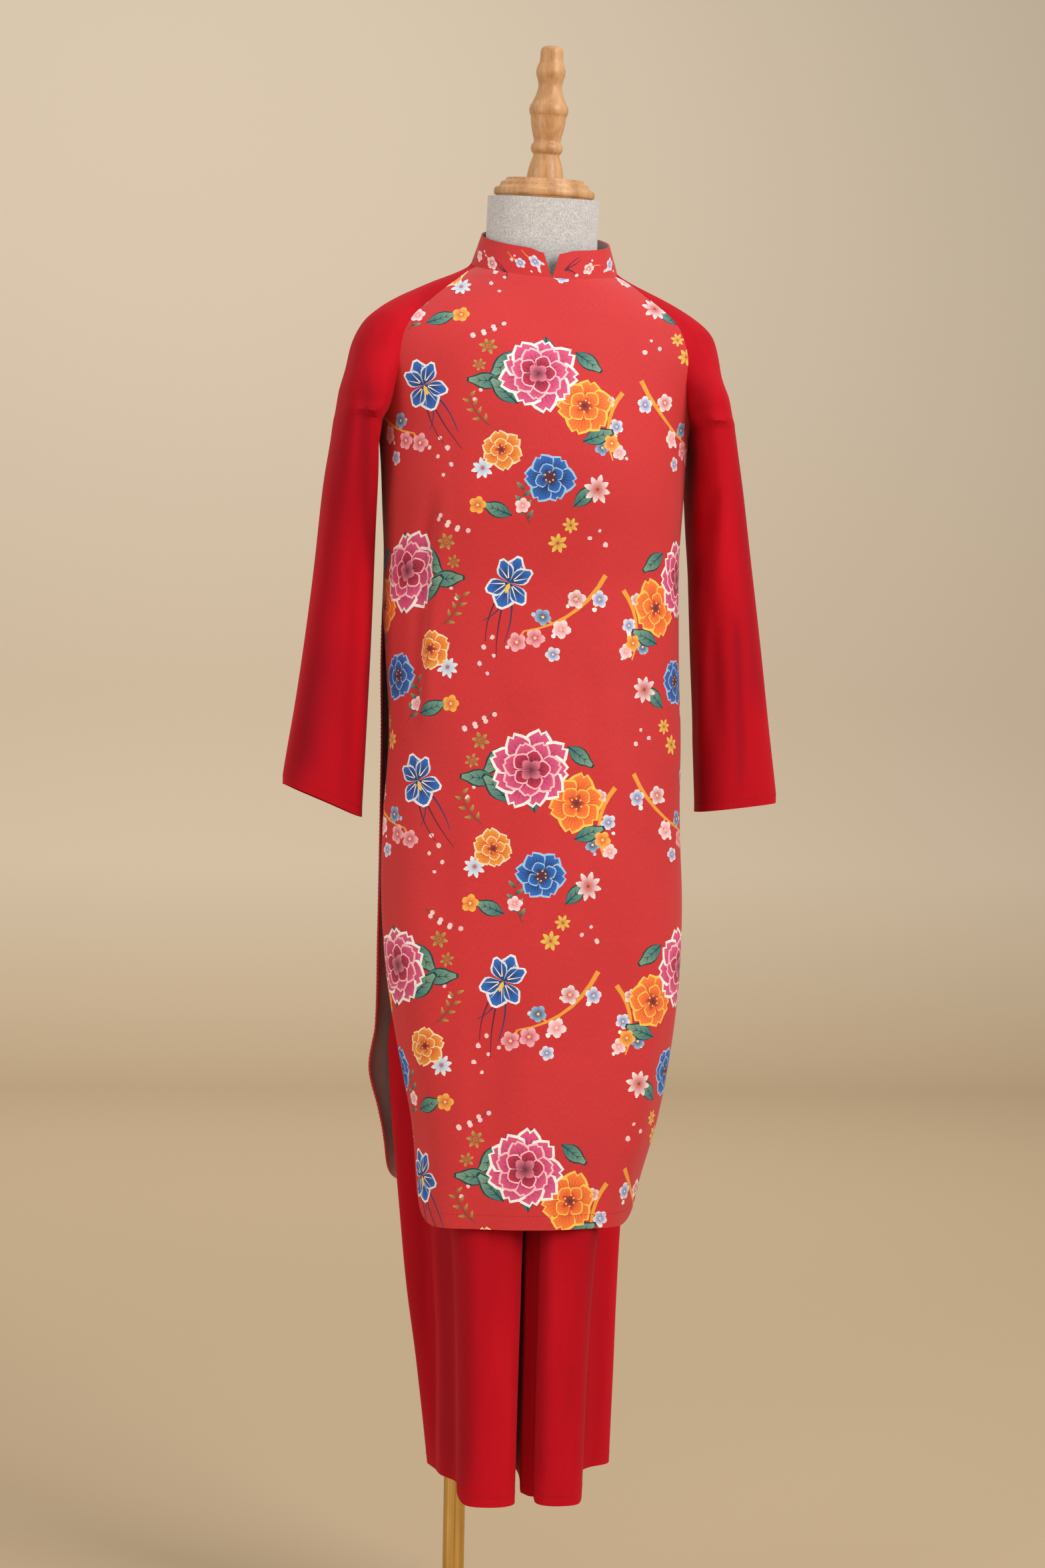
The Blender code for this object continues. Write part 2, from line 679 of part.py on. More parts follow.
def neck_frame():
    """The axis at the top of the neck: its centre and its tilt."""
    lean = NECK_TOP - NECK_START
    across = CENTRE_X + TORSO[-1].shift * MM + lean * math.tan(NECK_SIDE_LEAN)
    centre = Vector((across, -lean * math.tan(NECK_LEAN), NECK_TOP))
    turn = Matrix.Rotation(NECK_LEAN, 4, "X") @ Matrix.Rotation(NECK_SIDE_LEAN, 4, "Y")
    return centre, turn


def torso_point(z, angle):
    """The form's surface; over the shoulders its sections tilt with the neck."""
    row = read(TORSO, z)
    across, ahead = rounded(angle, FORM_SQUARENESS)
    depth = row.front if ahead > 0 else row.back
    rise = max(z - NECK_START, 0)
    tilt = smooth(z, NECK_START, NECK_TOP)
    x = row.half_width * across
    y = -depth * ahead
    return Vector((CENTRE_X + row.shift + rise * math.tan(NECK_SIDE_LEAN) + x,
                   y - rise * math.tan(NECK_LEAN),
                   z + y * math.tan(NECK_LEAN) * tilt - x * math.tan(NECK_SIDE_LEAN) * tilt))


def form_torso(material):
    sides = 2 * SHELL_COLUMNS      # its corners line up with the waistband's
    rings = [[torso_point(row.z * MM, 360 * k / sides) for k in range(sides)] for row in TORSO]
    points = [point for ring in rings for point in ring]
    faces = []
    for level in range(len(rings) - 1):
        for k in range(sides):
            a = level * sides + k
            b = level * sides + (k + 1) % sides
            faces.append([a, b, b + sides, a + sides])
    faces.append(list(range(sides))[::-1])
    last = (len(rings) - 1) * sides
    faces.append([last + k for k in range(sides)])
    add_object("form_torso", points, faces, material)


def turned(name, profile, material, place, sides=ROUND_SIDES):
    """A lathe shape from a profile that starts and ends on its axis."""
    mesh = bpy.data.meshes.new(name)
    work = bmesh.new()
    verts = [work.verts.new((turn.radius * MM, 0, turn.z * MM)) for turn in profile]
    edges = [work.edges.new(pair) for pair in zip(verts, verts[1:])]
    bmesh.ops.spin(work, geom=verts + edges, cent=(0, 0, 0), axis=(0, 0, 1), angle=math.tau,
                   steps=sides, use_merge=True, use_duplicate=False)
    bmesh.ops.remove_doubles(work, verts=work.verts, dist=1e-6)
    bmesh.ops.recalc_face_normals(work, faces=work.faces)
    work.to_mesh(mesh)
    work.free()
    mesh.materials.append(material)
    mesh.shade_smooth()
    mesh.set_sharp_from_angle(angle=math.radians(40))
    item = bpy.data.objects.new(name, mesh)
    item.matrix_world = place
    bpy.context.collection.objects.link(item)


def stand(wood, brass):
    centre, turn = neck_frame()
    seat = Matrix.Translation(centre) @ turn @ Matrix.Translation((0, 0, TOUCH - CAP[0].z * MM))
    turned("neck_cap", CAP, wood, seat)
    turned("finial", FINIAL, wood, seat)
    pole = [Turn(SOCKET_FLOOR / MM + 0.3, 0), Turn(SOCKET_FLOOR / MM + 0.3, POLE_RADIUS / MM),
            Turn(TORSO_BOTTOM / MM - 0.3, POLE_RADIUS / MM), Turn(TORSO_BOTTOM / MM - 0.3, 0)]
    turned("pole", pole, brass, Matrix.Identity(4))
    socket = (POLE_RADIUS + TOUCH) / MM
    rim, top = BASE_RADIUS / MM, BASE_THICKNESS / MM
    hub, hub_top = HUB_RADIUS / MM, HUB_TOP / MM
    base = [Turn(0, 0), Turn(0, rim - BASE_EDGE), Turn(BASE_EDGE, rim), Turn(top - BASE_EDGE, rim),
            Turn(top, rim - BASE_EDGE), Turn(top, hub + 2), Turn(top + 2, hub), Turn(hub_top - 1.5, hub),
            Turn(hub_top, hub - 1.5), Turn(hub_top, socket), Turn(SOCKET_FLOOR / MM, socket),
            Turn(SOCKET_FLOOR / MM, 0)]
    turned("base", base, brass, Matrix.Identity(4), sides=BASE_SIDES)


def main():
    for item in list(bpy.data.objects):
        bpy.data.objects.remove(item)
    printed = plain_material("printed_cloth", (0.72, 0.05, 0.06), 0.75)
    velvet = plain_material("velvet", (0.42, 0.008, 0.018), 0.8)
    plush = plain_material("plush", (0.80, 0.77, 0.70), 0.9)
    wood = plain_material("beech", (0.68, 0.50, 0.33), 0.45)
    brass = plain_material("brass", (0.75, 0.56, 0.28), 0.3, 1.0)
    sheets = tunic_sheets() + trouser_sheets()
    material_of = {sheet.name: printed for sheet in sheets}
    for sheet in sheets:
        if sheet.name.startswith(("sleeve", "leg", "waistband")):
            material_of[sheet.name] = velvet
    give_thickness(sheets, material_of)
    form_torso(plush)
    stand(wood, brass)


main()
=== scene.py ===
"""Looks of the ao dai on its dress form: fine cloth, print, velvet, plush, stand, light and camera.

Metres, +Z up, in the CAD's own frame. The garment's front faces -Y and +X is the viewer's right.
"""

import math
import random
from collections import namedtuple

import bpy
import numpy as np
from mathutils import Matrix, Vector
from mathutils.geometry import delaunay_2d_cdt
from mathutils.kdtree import KDTree


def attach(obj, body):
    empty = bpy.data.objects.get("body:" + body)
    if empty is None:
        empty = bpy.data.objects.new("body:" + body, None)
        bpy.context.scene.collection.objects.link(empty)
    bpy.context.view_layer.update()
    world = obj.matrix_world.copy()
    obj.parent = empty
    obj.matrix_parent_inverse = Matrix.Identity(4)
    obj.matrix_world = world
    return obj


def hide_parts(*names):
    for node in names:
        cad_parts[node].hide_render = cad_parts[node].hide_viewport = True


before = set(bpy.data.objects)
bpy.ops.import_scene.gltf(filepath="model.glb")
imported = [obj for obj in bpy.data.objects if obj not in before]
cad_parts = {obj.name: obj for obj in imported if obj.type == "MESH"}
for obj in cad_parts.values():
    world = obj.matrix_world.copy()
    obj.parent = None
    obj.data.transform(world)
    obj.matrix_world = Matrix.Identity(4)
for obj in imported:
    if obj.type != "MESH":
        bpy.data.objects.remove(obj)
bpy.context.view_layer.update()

# Sizes and sections shared with the CAD's cloth
MM = 0.001
CENTRE_X = 68 * MM          # the garment's centre plane; the pole stands to one side of it
CLOTH = 1.5 * MM
TOUCH = 0.3 * MM

SQUARENESS = 2.3            # 2 is an ellipse; the body's sections are a little fuller

UNDERARM = 1.262
SLIT_TOP = 1.080
NECKLINE = 1.4245           # mean height of the collar's lower edge
NECKLINE_TILT = 0.0185      # the front lies this much lower and the back as much higher
NECK_HALF_WIDTH = 0.0735
NECK_HALF_DEPTH = 0.057
NECK_Y = -0.005
COLLAR_HEIGHT = 0.029
COLLAR_TOP_HALF_WIDTH = 0.0640
COLLAR_TOP_HALF_DEPTH = 0.0495
COLLAR_TOP_Y = -0.010
NOTCH_ANGLE = 7.0           # degrees from the centre front to the collar's top corner

FRONT_HEM = 0.462
BACK_HEM = 0.484
CORNER_RADIUS = 0.062
CORNER_START = 0.62         # share of the half width where the hem starts to round up

WAIST_TOP = 1.072
WAISTBAND_HEIGHT = 0.028
CROTCH = 0.800
CROTCH_DIP = 28 * MM
TROUSER_HEM = 0.187
HEM_LIFT = 12 * MM
TUCK = 0.055                # share of its depth that the right leg gives up under the tunic
INSEAM_CLEARANCE = 4 * MM     # each leg's inner wall from the garment's centre

NECK_TOP = 1.4945
NECK_LEAN = math.radians(9.0)     # the neck leans forward
NECK_SIDE_LEAN = math.radians(1.1)


# Body sections in mm from the garment's centre: the cloth's inner side.
# Over the underarm they take in the sleeve heads.
Body = namedtuple("Body", "z half_width front back shift")
BODY = [
    Body(1070, 150, 105, 92, -6),
    Body(1105, 149, 107, 91, -6),
    Body(1140, 149, 113, 92, -6),
    Body(1180, 151, 120, 97, -6),
    Body(1220, 153, 122, 101, -6),
    Body(1245, 155, 120, 104, -6),
    Body(1262, 157, 118, 105, -6),
    Body(1300, 172, 110, 105, -6),
    Body(1335, 188, 100, 102, -4),
    Body(1357, 187, 91, 98, -1),
    Body(1370, 180, 86, 94, 2),
    Body(1383, 167, 80, 89, 3),
    Body(1395, 150, 74, 83, 3),
    Body(1407, 128, 68, 75, 3),
    Body(1416, 108, 63, 69, 2),
    Body(1425, 84, 59, 62, 2),
    Body(1445, 71, 52, 55, 2),
]
SIDE_TILT = 0.035           # the shoulders and neck drop this much towards the viewer's right

# The raglan seam's place round the body section, in degrees from the centre front
Seam = namedtuple("Seam", "z angle")
RAGLAN = [
    Seam(1262, 90), Seam(1272, 70), Seam(1300, 56), Seam(1320, 50.5), Seam(1340, 47),
    Seam(1360, 45.5), Seam(1380, 44.5), Seam(1404, 48), Seam(1416, 58), Seam(1425, 72),
]
RING_SEAM = 72.0

# Sleeve sections in mm, outward distance from the garment's centre
Sleeve = namedtuple("Sleeve", "z outer inner front back")
SLEEVE_LEFT = [
    Sleeve(890, 253, 176, 54, 50),
    Sleeve(960, 243, 173, 55, 52),
    Sleeve(1040, 234, 170, 57, 55),
    Sleeve(1120, 225.5, 168, 60, 58),
    Sleeve(1200, 217.5, 167, 64, 62),
    Sleeve(1245, 211, 168, 66, 65),
    Sleeve(1262, 209, 168, 67, 66),
    Sleeve(1312, 201, 156, 68, 70),
    Sleeve(1336, 195, 146, 66, 72),
    Sleeve(1380, 168, 118, 60, 70),
]
SLEEVE_RIGHT = [
    Sleeve(890, 248, 170, 54, 50),
    Sleeve(960, 239, 167, 55, 52),
    Sleeve(1040, 229.5, 163, 57, 55),
    Sleeve(1120, 219, 160, 60, 58),
    Sleeve(1200, 207.5, 157, 64, 62),
    Sleeve(1245, 200, 157, 66, 65),
    Sleeve(1262, 197, 157, 67, 66),
    Sleeve(1312, 188, 149, 68, 70),
    Sleeve(1336, 182, 140, 66, 72),
    Sleeve(1380, 160, 113, 60, 70),
]
CUFF = 0.880
CUFF_SLOPE = {-1: 0.42, 1: 0.14}    # the inner side of each cuff hangs lower

# Free panels under the slits, mm from the centre: the edges and how far they lie back
Panel = namedtuple("Panel", "z left right face_y left_y right_y")
FRONT_PANEL = [
    Panel(430, 108, 98, -116, -60, -44),
    Panel(500, 110, 113, -115, -56, -40),
    Panel(560, 115, 131, -114, -52, -36),
    Panel(620, 127, 142, -113, -46, -34),
    Panel(700, 141, 151, -112, -40, -32),
    Panel(780, 148, 154, -110, -34, -28),
    Panel(860, 148, 152, -108, -28, -22),
    Panel(950, 143, 153, -106, -22, -14),
    Panel(1020, 146, 151, -105, -10, -6),
    Panel(1080, 150, 150, -105.5, 0, 0),
]
BACK_PANEL = [
    Panel(430, 126, 112, 118, 62, 70),
    Panel(522, 133, 118, 117, 54, 64),
    Panel(563, 141, 126, 116, 50, 60),
    Panel(605, 152, 132, 116, 47, 56),
    Panel(650, 146, 136, 115, 44, 52),
    Panel(740, 146, 144, 114, 38, 44),
    Panel(860, 147, 147, 112, 28, 32),
    Panel(950, 148, 149, 107, 18, 20),
    Panel(1020, 150, 150, 98, 7, 8),
    Panel(1080, 150, 150, 91.5, 0, 0),
]

# Soft vertical folds of the panels: place across the half width, -1 left to 1 right
Fold = namedtuple("Fold", "place width depth top")
FRONT_FOLDS = [
    Fold(-0.80, 0.14, 7, 1.16),
    Fold(-0.28, 0.16, 5, 0.90),
    Fold(0.30, 0.18, 6, 0.95),
    Fold(0.74, 0.13, 4, 0.85),
]
BACK_FOLDS = [
    Fold(-0.62, 0.16, 8, 1.00),
    Fold(-0.18, 0.14, 5, 0.92),
    Fold(0.34, 0.17, 7, 0.98),
    Fold(0.76, 0.12, 5, 0.86),
]
# Sleeve folds: place round the tube from the inner side (0) over the front (0.25) to 1
SleeveFold = namedtuple("SleeveFold", "place drift width depth low high")
SLEEVE_FOLDS = {
    -1: [SleeveFold(0.20, -0.05, 0.055, 7, 0.90, 1.345), SleeveFold(0.70, 0.03, 0.06, 6, 0.92, 1.30)],
    1: [SleeveFold(0.13, 0.05, 0.05, 6, 0.93, 1.26), SleeveFold(0.74, -0.04, 0.06, 6, 0.92, 1.30)],
}

# Trouser legs, mm from the centre: the side lobe, the front fold and the inseam
Leg = namedtuple("Leg", "z side fold_outer inner front back")
LEG_LEFT = [
    Leg(187, 91, 71, 17, 101, 96),
    Leg(300, 103, 73, 16, 101, 98),
    Leg(380, 115, 76, 15, 101, 99),
    Leg(450, 123, 80, 14, 101, 100),
    Leg(580, 136, 91, 6, 100, 101),
    Leg(700, 142, 104, 2, 99, 101),
    Leg(800, 143, 118, 0, 98, 101),
]
LEG_RIGHT = [
    Leg(187, 95, 51, 5, 99, 96),
    Leg(300, 98, 53, 5, 100, 98),
    Leg(380, 100, 56, 5, 100, 99),
    Leg(450, 103, 62, 5, 100, 100),
    Leg(580, 113, 82, 5, 100, 101),
    Leg(700, 126, 104, 3, 99, 101),
    Leg(800, 136, 118, 0, 98, 101),
]
# The trousers' hips; their band lies on the form, whose waist rows it follows
BAND_EASE = 0.4
LOW_WAIST = Body(1044, 127, 89.2, 84.8, -1.5)
HIGH_WAIST = Body(1072, 125, 87, 81, -2)
HIPS = [
    Body(800, 137, 98, 101, 0),
    Body(880, 138, 99, 103, 0),
    Body(960, 138, 100, 100, 0),
    Body(1010, 134, 96, 93, -1),
    Body(1044, *[size + BAND_EASE for size in LOW_WAIST[1:4]], LOW_WAIST.shift),
    Body(1072, *[size + BAND_EASE for size in HIGH_WAIST[1:4]], HIGH_WAIST.shift),
]
FORM_SQUARENESS = 2.2
FULL_LEG_HEIGHT = 0.620      # the leg's own folds are full from here down

# The form's sections in mm
TORSO = [
    Body(840, 112, 76, 80, 0),
    Body(850, 122, 84, 88, 0),
    Body(875, 129, 90, 94, 0),
    Body(920, 133, 94, 98, 0),
    Body(970, 132, 95, 95, 0),
    Body(1020, 129, 91, 88, -1),
    LOW_WAIST,
    HIGH_WAIST,
    Body(1120, 122, 87, 79, -3),
    Body(1175, 131, 98, 84, -4),
    Body(1230, 142, 110, 92, -4),
    Body(1280, 148, 104, 96, -4),
    Body(1320, 152, 93, 94, -4),
    Body(1348, 152, 82, 88, -4),
    Body(1368, 138, 73, 80, -3),
    Body(1386, 110, 60, 68, -2),
    Body(1402, 80, 49, 57, -1),
    Body(1420, 60, 44, 48, -2),
    Body(1450, 57, 46, 46, -3),
    Body(1494.5, 57, 48, 48, -3),
]
NECK_START = 1.400

# Turned profiles: height over the cap's top and radius, mm
Turn = namedtuple("Turn", "z radius")
FINIAL = [
    Turn(0.3, 0), Turn(0.3, 18.8), Turn(5, 18.4), Turn(14, 16.6), Turn(22, 13.6), Turn(25, 13),
    Turn(27, 15.4), Turn(31, 16.5), Turn(35, 15.4), Turn(37, 13), Turn(46, 15.4), Turn(55, 17.4),
    Turn(63, 18), Turn(65, 19.4), Turn(69, 20), Turn(73, 19.2), Turn(75, 17.6), Turn(84, 13.6),
    Turn(92, 11.6), Turn(98, 12.8), Turn(106, 15.5), Turn(113, 13.4), Turn(117, 11.5),
    Turn(128, 11.5), Turn(131, 9.4), Turn(132, 6), Turn(132, 0),
]
CAP = [
    Turn(-19, 0), Turn(-19, 48.5), Turn(-17, 49.2), Turn(-17, 51), Turn(-14, 51.5), Turn(-10, 50.6),
    Turn(-8.5, 46), Turn(-6.5, 45), Turn(-4, 44.4), Turn(-2.5, 40), Turn(0, 39), Turn(0, 0),
]

def smooth(value, low, high):
    """0 at low, 1 at high, with a soft start and end."""
    share = min(max((value - low) / (high - low), 0.0), 1.0)
    return share * share * (3 - 2 * share)


def read(table, z):
    """The table's row at height z in metres, eased between rows, with its lengths in metres."""
    height = z / MM
    rows = table
    height = min(max(height, rows[0].z), rows[-1].z)
    index = max(i for i, row in enumerate(rows[:-1]) if row.z <= height)
    low, high = rows[index], rows[index + 1]
    before, after = rows[max(index - 1, 0)], rows[min(index + 2, len(rows) - 1)]
    step = high.z - low.z
    share = (height - low.z) / step
    values = []
    for a, b, c, d in zip(before, low, high, after):
        start = (c - a) / (high.z - before.z) * step
        end = (d - b) / (after.z - low.z) * step
        values.append((2 * share ** 3 - 3 * share ** 2 + 1) * b + (share ** 3 - 2 * share ** 2 + share) * start
                      + (3 * share ** 2 - 2 * share ** 3) * c + (share ** 3 - share ** 2) * end)
    return type(low)(*[value * MM for value in values])


def rounded(angle, squareness=SQUARENESS):
    """Sine and cosine of a fuller ellipse, angle in degrees from the front."""
    sine = math.sin(math.radians(angle))
    cosine = math.cos(math.radians(angle))
    power = 2 / squareness
    return (math.copysign(abs(sine) ** power, sine), math.copysign(abs(cosine) ** power, cosine))


def body_point(z, angle):
    row = read(BODY, z)
    across, ahead = rounded(angle)
    depth = row.front if ahead > 0 else row.back
    return Vector((CENTRE_X + row.shift + row.half_width * across, -depth * ahead, z))


def ring_point(angle, half_width, half_depth, centre_y, z):
    """A point on the collar's lower or upper edge."""
    turn = math.radians(angle)
    across = half_width * math.sin(turn)
    return Vector((CENTRE_X + read(BODY, z).shift + across, centre_y - half_depth * math.cos(turn),
                   z - NECKLINE_TILT * math.cos(turn) - SIDE_TILT * across))


def garment_angles(q, z):
    """Angles round the collar and the body; q runs 0-1 front, 1-2 sleeve, 2-3 back."""
    seam = read(RAGLAN, z).angle / MM
    if q <= 1:
        return q * RING_SEAM, q * seam
    if q <= 2:
        return (RING_SEAM + (q - 1) * (180 - 2 * RING_SEAM), seam + (q - 1) * (180 - 2 * seam))
    return 180 - (3 - q) * RING_SEAM, 180 - (3 - q) * seam


def sleeve_loop(side, z, turn):
    """The sleeve's section; turn runs 0-1 from the inner side over the front."""
    row = read(SLEEVE_LEFT if side < 0 else SLEEVE_RIGHT, z)
    middle = (row.outer + row.inner) / 2
    half = (row.outer - row.inner) / 2
    sine, cosine = rounded(turn * 360)
    depth = row.front if sine > 0 else row.back
    point = Vector((CENTRE_X + side * (middle - half * cosine), -depth * sine, z))
    centre = Vector((CENTRE_X + side * middle, 0, z))
    outward = (point - centre).normalized()
    for fold in SLEEVE_FOLDS[side]:
        place = fold.place + fold.drift * (UNDERARM - z) / (UNDERARM - CUFF)
        share = math.exp(-((turn - place) / fold.width) ** 2)
        reach = smooth(z, fold.low - 0.05, fold.low + 0.1) * (1 - smooth(z, fold.high - 0.09, fold.high))
        point -= outward * fold.depth * MM * share * reach
    return point


def underarm_fill(q, drop):
    """Carries the sleeve head's fullness softly past the underarm; drop is how far below it."""
    front = (2 - q) ** 4 * (1 - (2 - q) ** 9)
    back = (q - 1) ** 4 * (1 - (q - 1) ** 9)
    share = 1 - (smooth(-drop, 0, 0.014) if drop < 0 else smooth(drop, 0, 0.14))
    return Vector((0, 38 * back - 43 * front, 0)) * (share * MM)


def yoke_point(side, q, v):
    """The tunic over the underarm; v runs 0 at the collar to 1 at the underarm."""
    level = NECKLINE - (NECKLINE - UNDERARM) * v ** 1.35
    around, angle = garment_angles(q, level)
    z = level - NECKLINE_TILT * math.cos(math.radians(around)) * (1 - v) ** 2
    point = body_point(z, side * angle)
    ring = ring_point(side * around, NECK_HALF_WIDTH, NECK_HALF_DEPTH, NECK_Y, NECKLINE)
    near = (1 - v) ** 4
    point.x += (ring.x - point.x) * near
    point.y += (ring.y - point.y) * near
    if 1 < q < 2:
        hang = 1 - smooth(level, 1.290, 1.385)
        start = 85 * smooth(level, UNDERARM, 1.375) / 360
        turn = start + (q - 1) * (1 - 2 * start)
        tube = sleeve_loop(side, z, turn)
        first = sleeve_loop(side, z, start)
        last = sleeve_loop(side, z, 1 - start)
        seam_front = yoke_point(side, 1, v)
        seam_back = yoke_point(side, 2, v)
        tube += (seam_front - first) * (2 - q) ** 4 + (seam_back - last) * (q - 1) ** 4
        tube += underarm_fill(q, UNDERARM - level)
        point = point.lerp(tube, hang)
        point.z = z
    point.z -= SIDE_TILT * (point.x - CENTRE_X) * smooth(level, UNDERARM, 1.36)
    return point


def sleeve_tube_point(side, turn, w):
    """The sleeve under the underarm; w runs 0 at the underarm to 1 at the cuff."""
    z = UNDERARM + (CUFF - UNDERARM) * w
    point = sleeve_loop(side, z, turn)
    row = read(SLEEVE_LEFT if side < 0 else SLEEVE_RIGHT, z)
    middle = CENTRE_X + side * (row.outer + row.inner) / 2
    slope = CUFF_SLOPE[side] * smooth(w, 0.35, 1.0)
    point.z = z - slope * side * (middle - point.x)
    joined = body_point(UNDERARM, side * 90) - sleeve_loop(side, UNDERARM, 0)
    away = 1 - max(turn, 1 - turn)
    near = ((1 - turn) ** 4 + turn ** 4) * (1 - smooth(UNDERARM - z, 0, 0.018 + 0.16 * away))
    return point + joined * near + underarm_fill(1 + turn, UNDERARM - z)


def corner_rise(share):
    """How far the hem rises at a panel's rounded corner."""
    reach = min(max((abs(share) - CORNER_START) / (1 - CORNER_START), 0), 1)
    return CORNER_RADIUS * (1 - math.sqrt(1 - reach ** 2 * 0.98))


def free_panel_point(table, folds, hem, share, w):
    """A free panel; share runs -1 left to 1 right, w runs 0 at the slit's top to 1 at the hem."""
    z = SLIT_TOP + (hem + corner_rise(share) - SLIT_TOP) * w
    row = read(table, z)
    across, ahead = rounded(90 * abs(share))
    width = row.left if share < 0 else row.right
    edge_y = row.left_y if share < 0 else row.right_y
    shift = read(BODY, z).shift
    y = edge_y + (row.face_y - edge_y) * ahead
    x = CENTRE_X + shift + math.copysign(width * across, share)
    return Vector((x, y + fold_depth(folds, share, z, row), z))


def fold_depth(folds, share, z, row):
    """Soft troughs that deepen towards the hem, pressed in from the panel's face."""
    inward = -math.copysign(1, row.face_y)
    total = 0
    for fold in folds:
        reach = 1 - smooth(z, fold.top - 0.30, fold.top)
        near_edge = 1 - smooth(abs(share), 0.88, 1.0)
        total += fold.depth * MM * reach * near_edge * math.exp(-((share - fold.place) / fold.width) ** 2)
    return inward * total


def chest_point(share, z, front):
    """The closed part of the tunic's body from the underarm to the slits."""
    return body_point(z, 90 * share if front else 180 - 90 * share)


def web(side, z):
    """How far the right leg's cloth runs across between the two front folds, where the legs hang apart."""
    return (12 * MM if side > 0 else 0) * (1 - smooth(z, 0.45, 0.60))


def leg_outline(side, z):
    """Points round the leg in plan, from the inner front round the fold, its recess and the side lobe."""
    row = read(LEG_LEFT if side < 0 else LEG_RIGHT, z)
    fold = row.fold_outer - row.inner
    lobe = row.side - row.fold_outer
    rest = 12 * MM if side < 0 else lobe * 0.08     # the pole stands inside the left leg
    return [
        (row.inner - web(side, z), -row.front * 0.70),
        (row.inner - web(side, z) * 0.45, -row.front * 0.75),
        (row.inner, -row.front * 0.77),
        (row.inner + fold * 0.03, -row.front * 0.88),
        (row.inner + fold * 0.20, -row.front * 0.97),
        (row.inner + fold * 0.50, -row.front),
        (row.inner + fold * 0.84, -row.front * 0.94),
        (row.fold_outer, -row.front * 0.72),
        (row.fold_outer - 1 * MM, -row.front * 0.42),
        (row.fold_outer + rest, -row.front * 0.13),
        (row.fold_outer + max(rest * 1.25, lobe * 0.42), row.back * 0.12),
        (row.fold_outer + lobe * 0.88, row.back * 0.27),
        (row.side, row.back * 0.46),
        (row.side * 0.92, row.back * 0.76),
        (row.side * 0.62, row.back * 0.97),
        (row.side * 0.28, row.back * 0.97),
        (row.inner - web(side, z), row.back * 0.60),
    ]


def along(points, share):
    """A point on a soft curve through plan points, by share of their count."""
    place = share * (len(points) - 1)
    index = min(int(place), len(points) - 2)
    t = place - index
    before = points[max(index - 1, 0)]
    after = points[min(index + 2, len(points) - 1)]
    result = []
    for a, b, c, d in zip(before, points[index], points[index + 1], after):
        result.append(0.5 * (2 * b + (c - a) * t + (2 * a - 5 * b + 4 * c - d) * t * t
                             + (3 * b - a - 3 * c + d) * t ** 3))
    return result


def hip_point(side, angle, z):
    row = read(HIPS, z)
    across, ahead = rounded(angle, FORM_SQUARENESS)
    depth = row.front if ahead > 0 else row.back
    return Vector((CENTRE_X + row.shift + side * row.half_width * across, -depth * ahead, z))


def leg_point(side, share, z):
    """The leg's outer shell; share runs 0 at the centre front to 1 at the centre back."""
    shell = hip_point(side, 180 * share, max(z, CROTCH))
    across, y = along(leg_outline(side, z), share)
    fold = Vector((CENTRE_X + side * across, y, z))
    shell.z = z
    point = shell.lerp(fold, 1 - smooth(z, FULL_LEG_HEIGHT, CROTCH))
    if z < CROTCH:
        apart = INSEAM_CLEARANCE - web(side, z)
        point.x = CENTRE_X + side * max(side * (point.x - CENTRE_X), apart)
    return point


def inseam_point(side, share, z):
    """The leg's inner wall; share runs 0 at the back to 1 at the front."""
    back = leg_point(side, 1, z)
    front = leg_point(side, 0, z)
    point = back.lerp(front, share)
    if z < CROTCH:
        belly = 5 * MM * smooth(CROTCH - z, 0, 0.25) * math.sin(math.pi * share)
        apart = INSEAM_CLEARANCE + belly - web(side, z)
        point.x = CENTRE_X + side * max(side * (point.x - CENTRE_X), apart)
    dip = max(math.sin(math.pi * share), 0) ** 0.8 * (1 - smooth(CROTCH - z, 0, 0.2))
    point.z -= CROTCH_DIP * dip
    return point


def lifted(point):
    """The hem hangs a little higher behind the front folds; under the tunic the right leg lies flatter."""
    behind = smooth(point.y, -0.092, -0.050) * (1 - smooth(point.z, TROUSER_HEM, TROUSER_HEM + 0.12))
    under = smooth(point.z, 0.485, 0.54) * (1 - smooth(point.z, 0.72, 0.80)) * smooth(point.x, 0.092, 0.118)
    return Vector((point.x, point.y * (1 - TUCK * under), point.z + HEM_LIFT * behind))


def torso_point(z, angle):
    """The form's surface; over the shoulders its sections tilt with the neck."""
    row = read(TORSO, z)
    across, ahead = rounded(angle, FORM_SQUARENESS)
    depth = row.front if ahead > 0 else row.back
    rise = max(z - NECK_START, 0)
    tilt = smooth(z, NECK_START, NECK_TOP)
    x = row.half_width * across
    y = -depth * ahead
    return Vector((CENTRE_X + row.shift + rise * math.tan(NECK_SIDE_LEAN) + x,
                   y - rise * math.tan(NECK_LEAN),
                   z + y * math.tan(NECK_LEAN) * tilt - x * math.tan(NECK_SIDE_LEAN) * tilt))


def spread(count, low=0.0, high=1.0):
    return [low + (high - low) * k / count for k in range(count + 1)]


def eased(value, low, high):
    """The array form of smooth."""
    share = np.clip((value - low) / (high - low), 0, 1)
    return share * share * (3 - 2 * share)


# Creases and the bands of painted shade are laid along lines seen from the front: x and z in mm, top to bottom.
# A positive depth is a trough and a negative one a ridge; facing -1 is the front and 1 the back.
Crease = namedtuple("Crease", "facing depth width path")


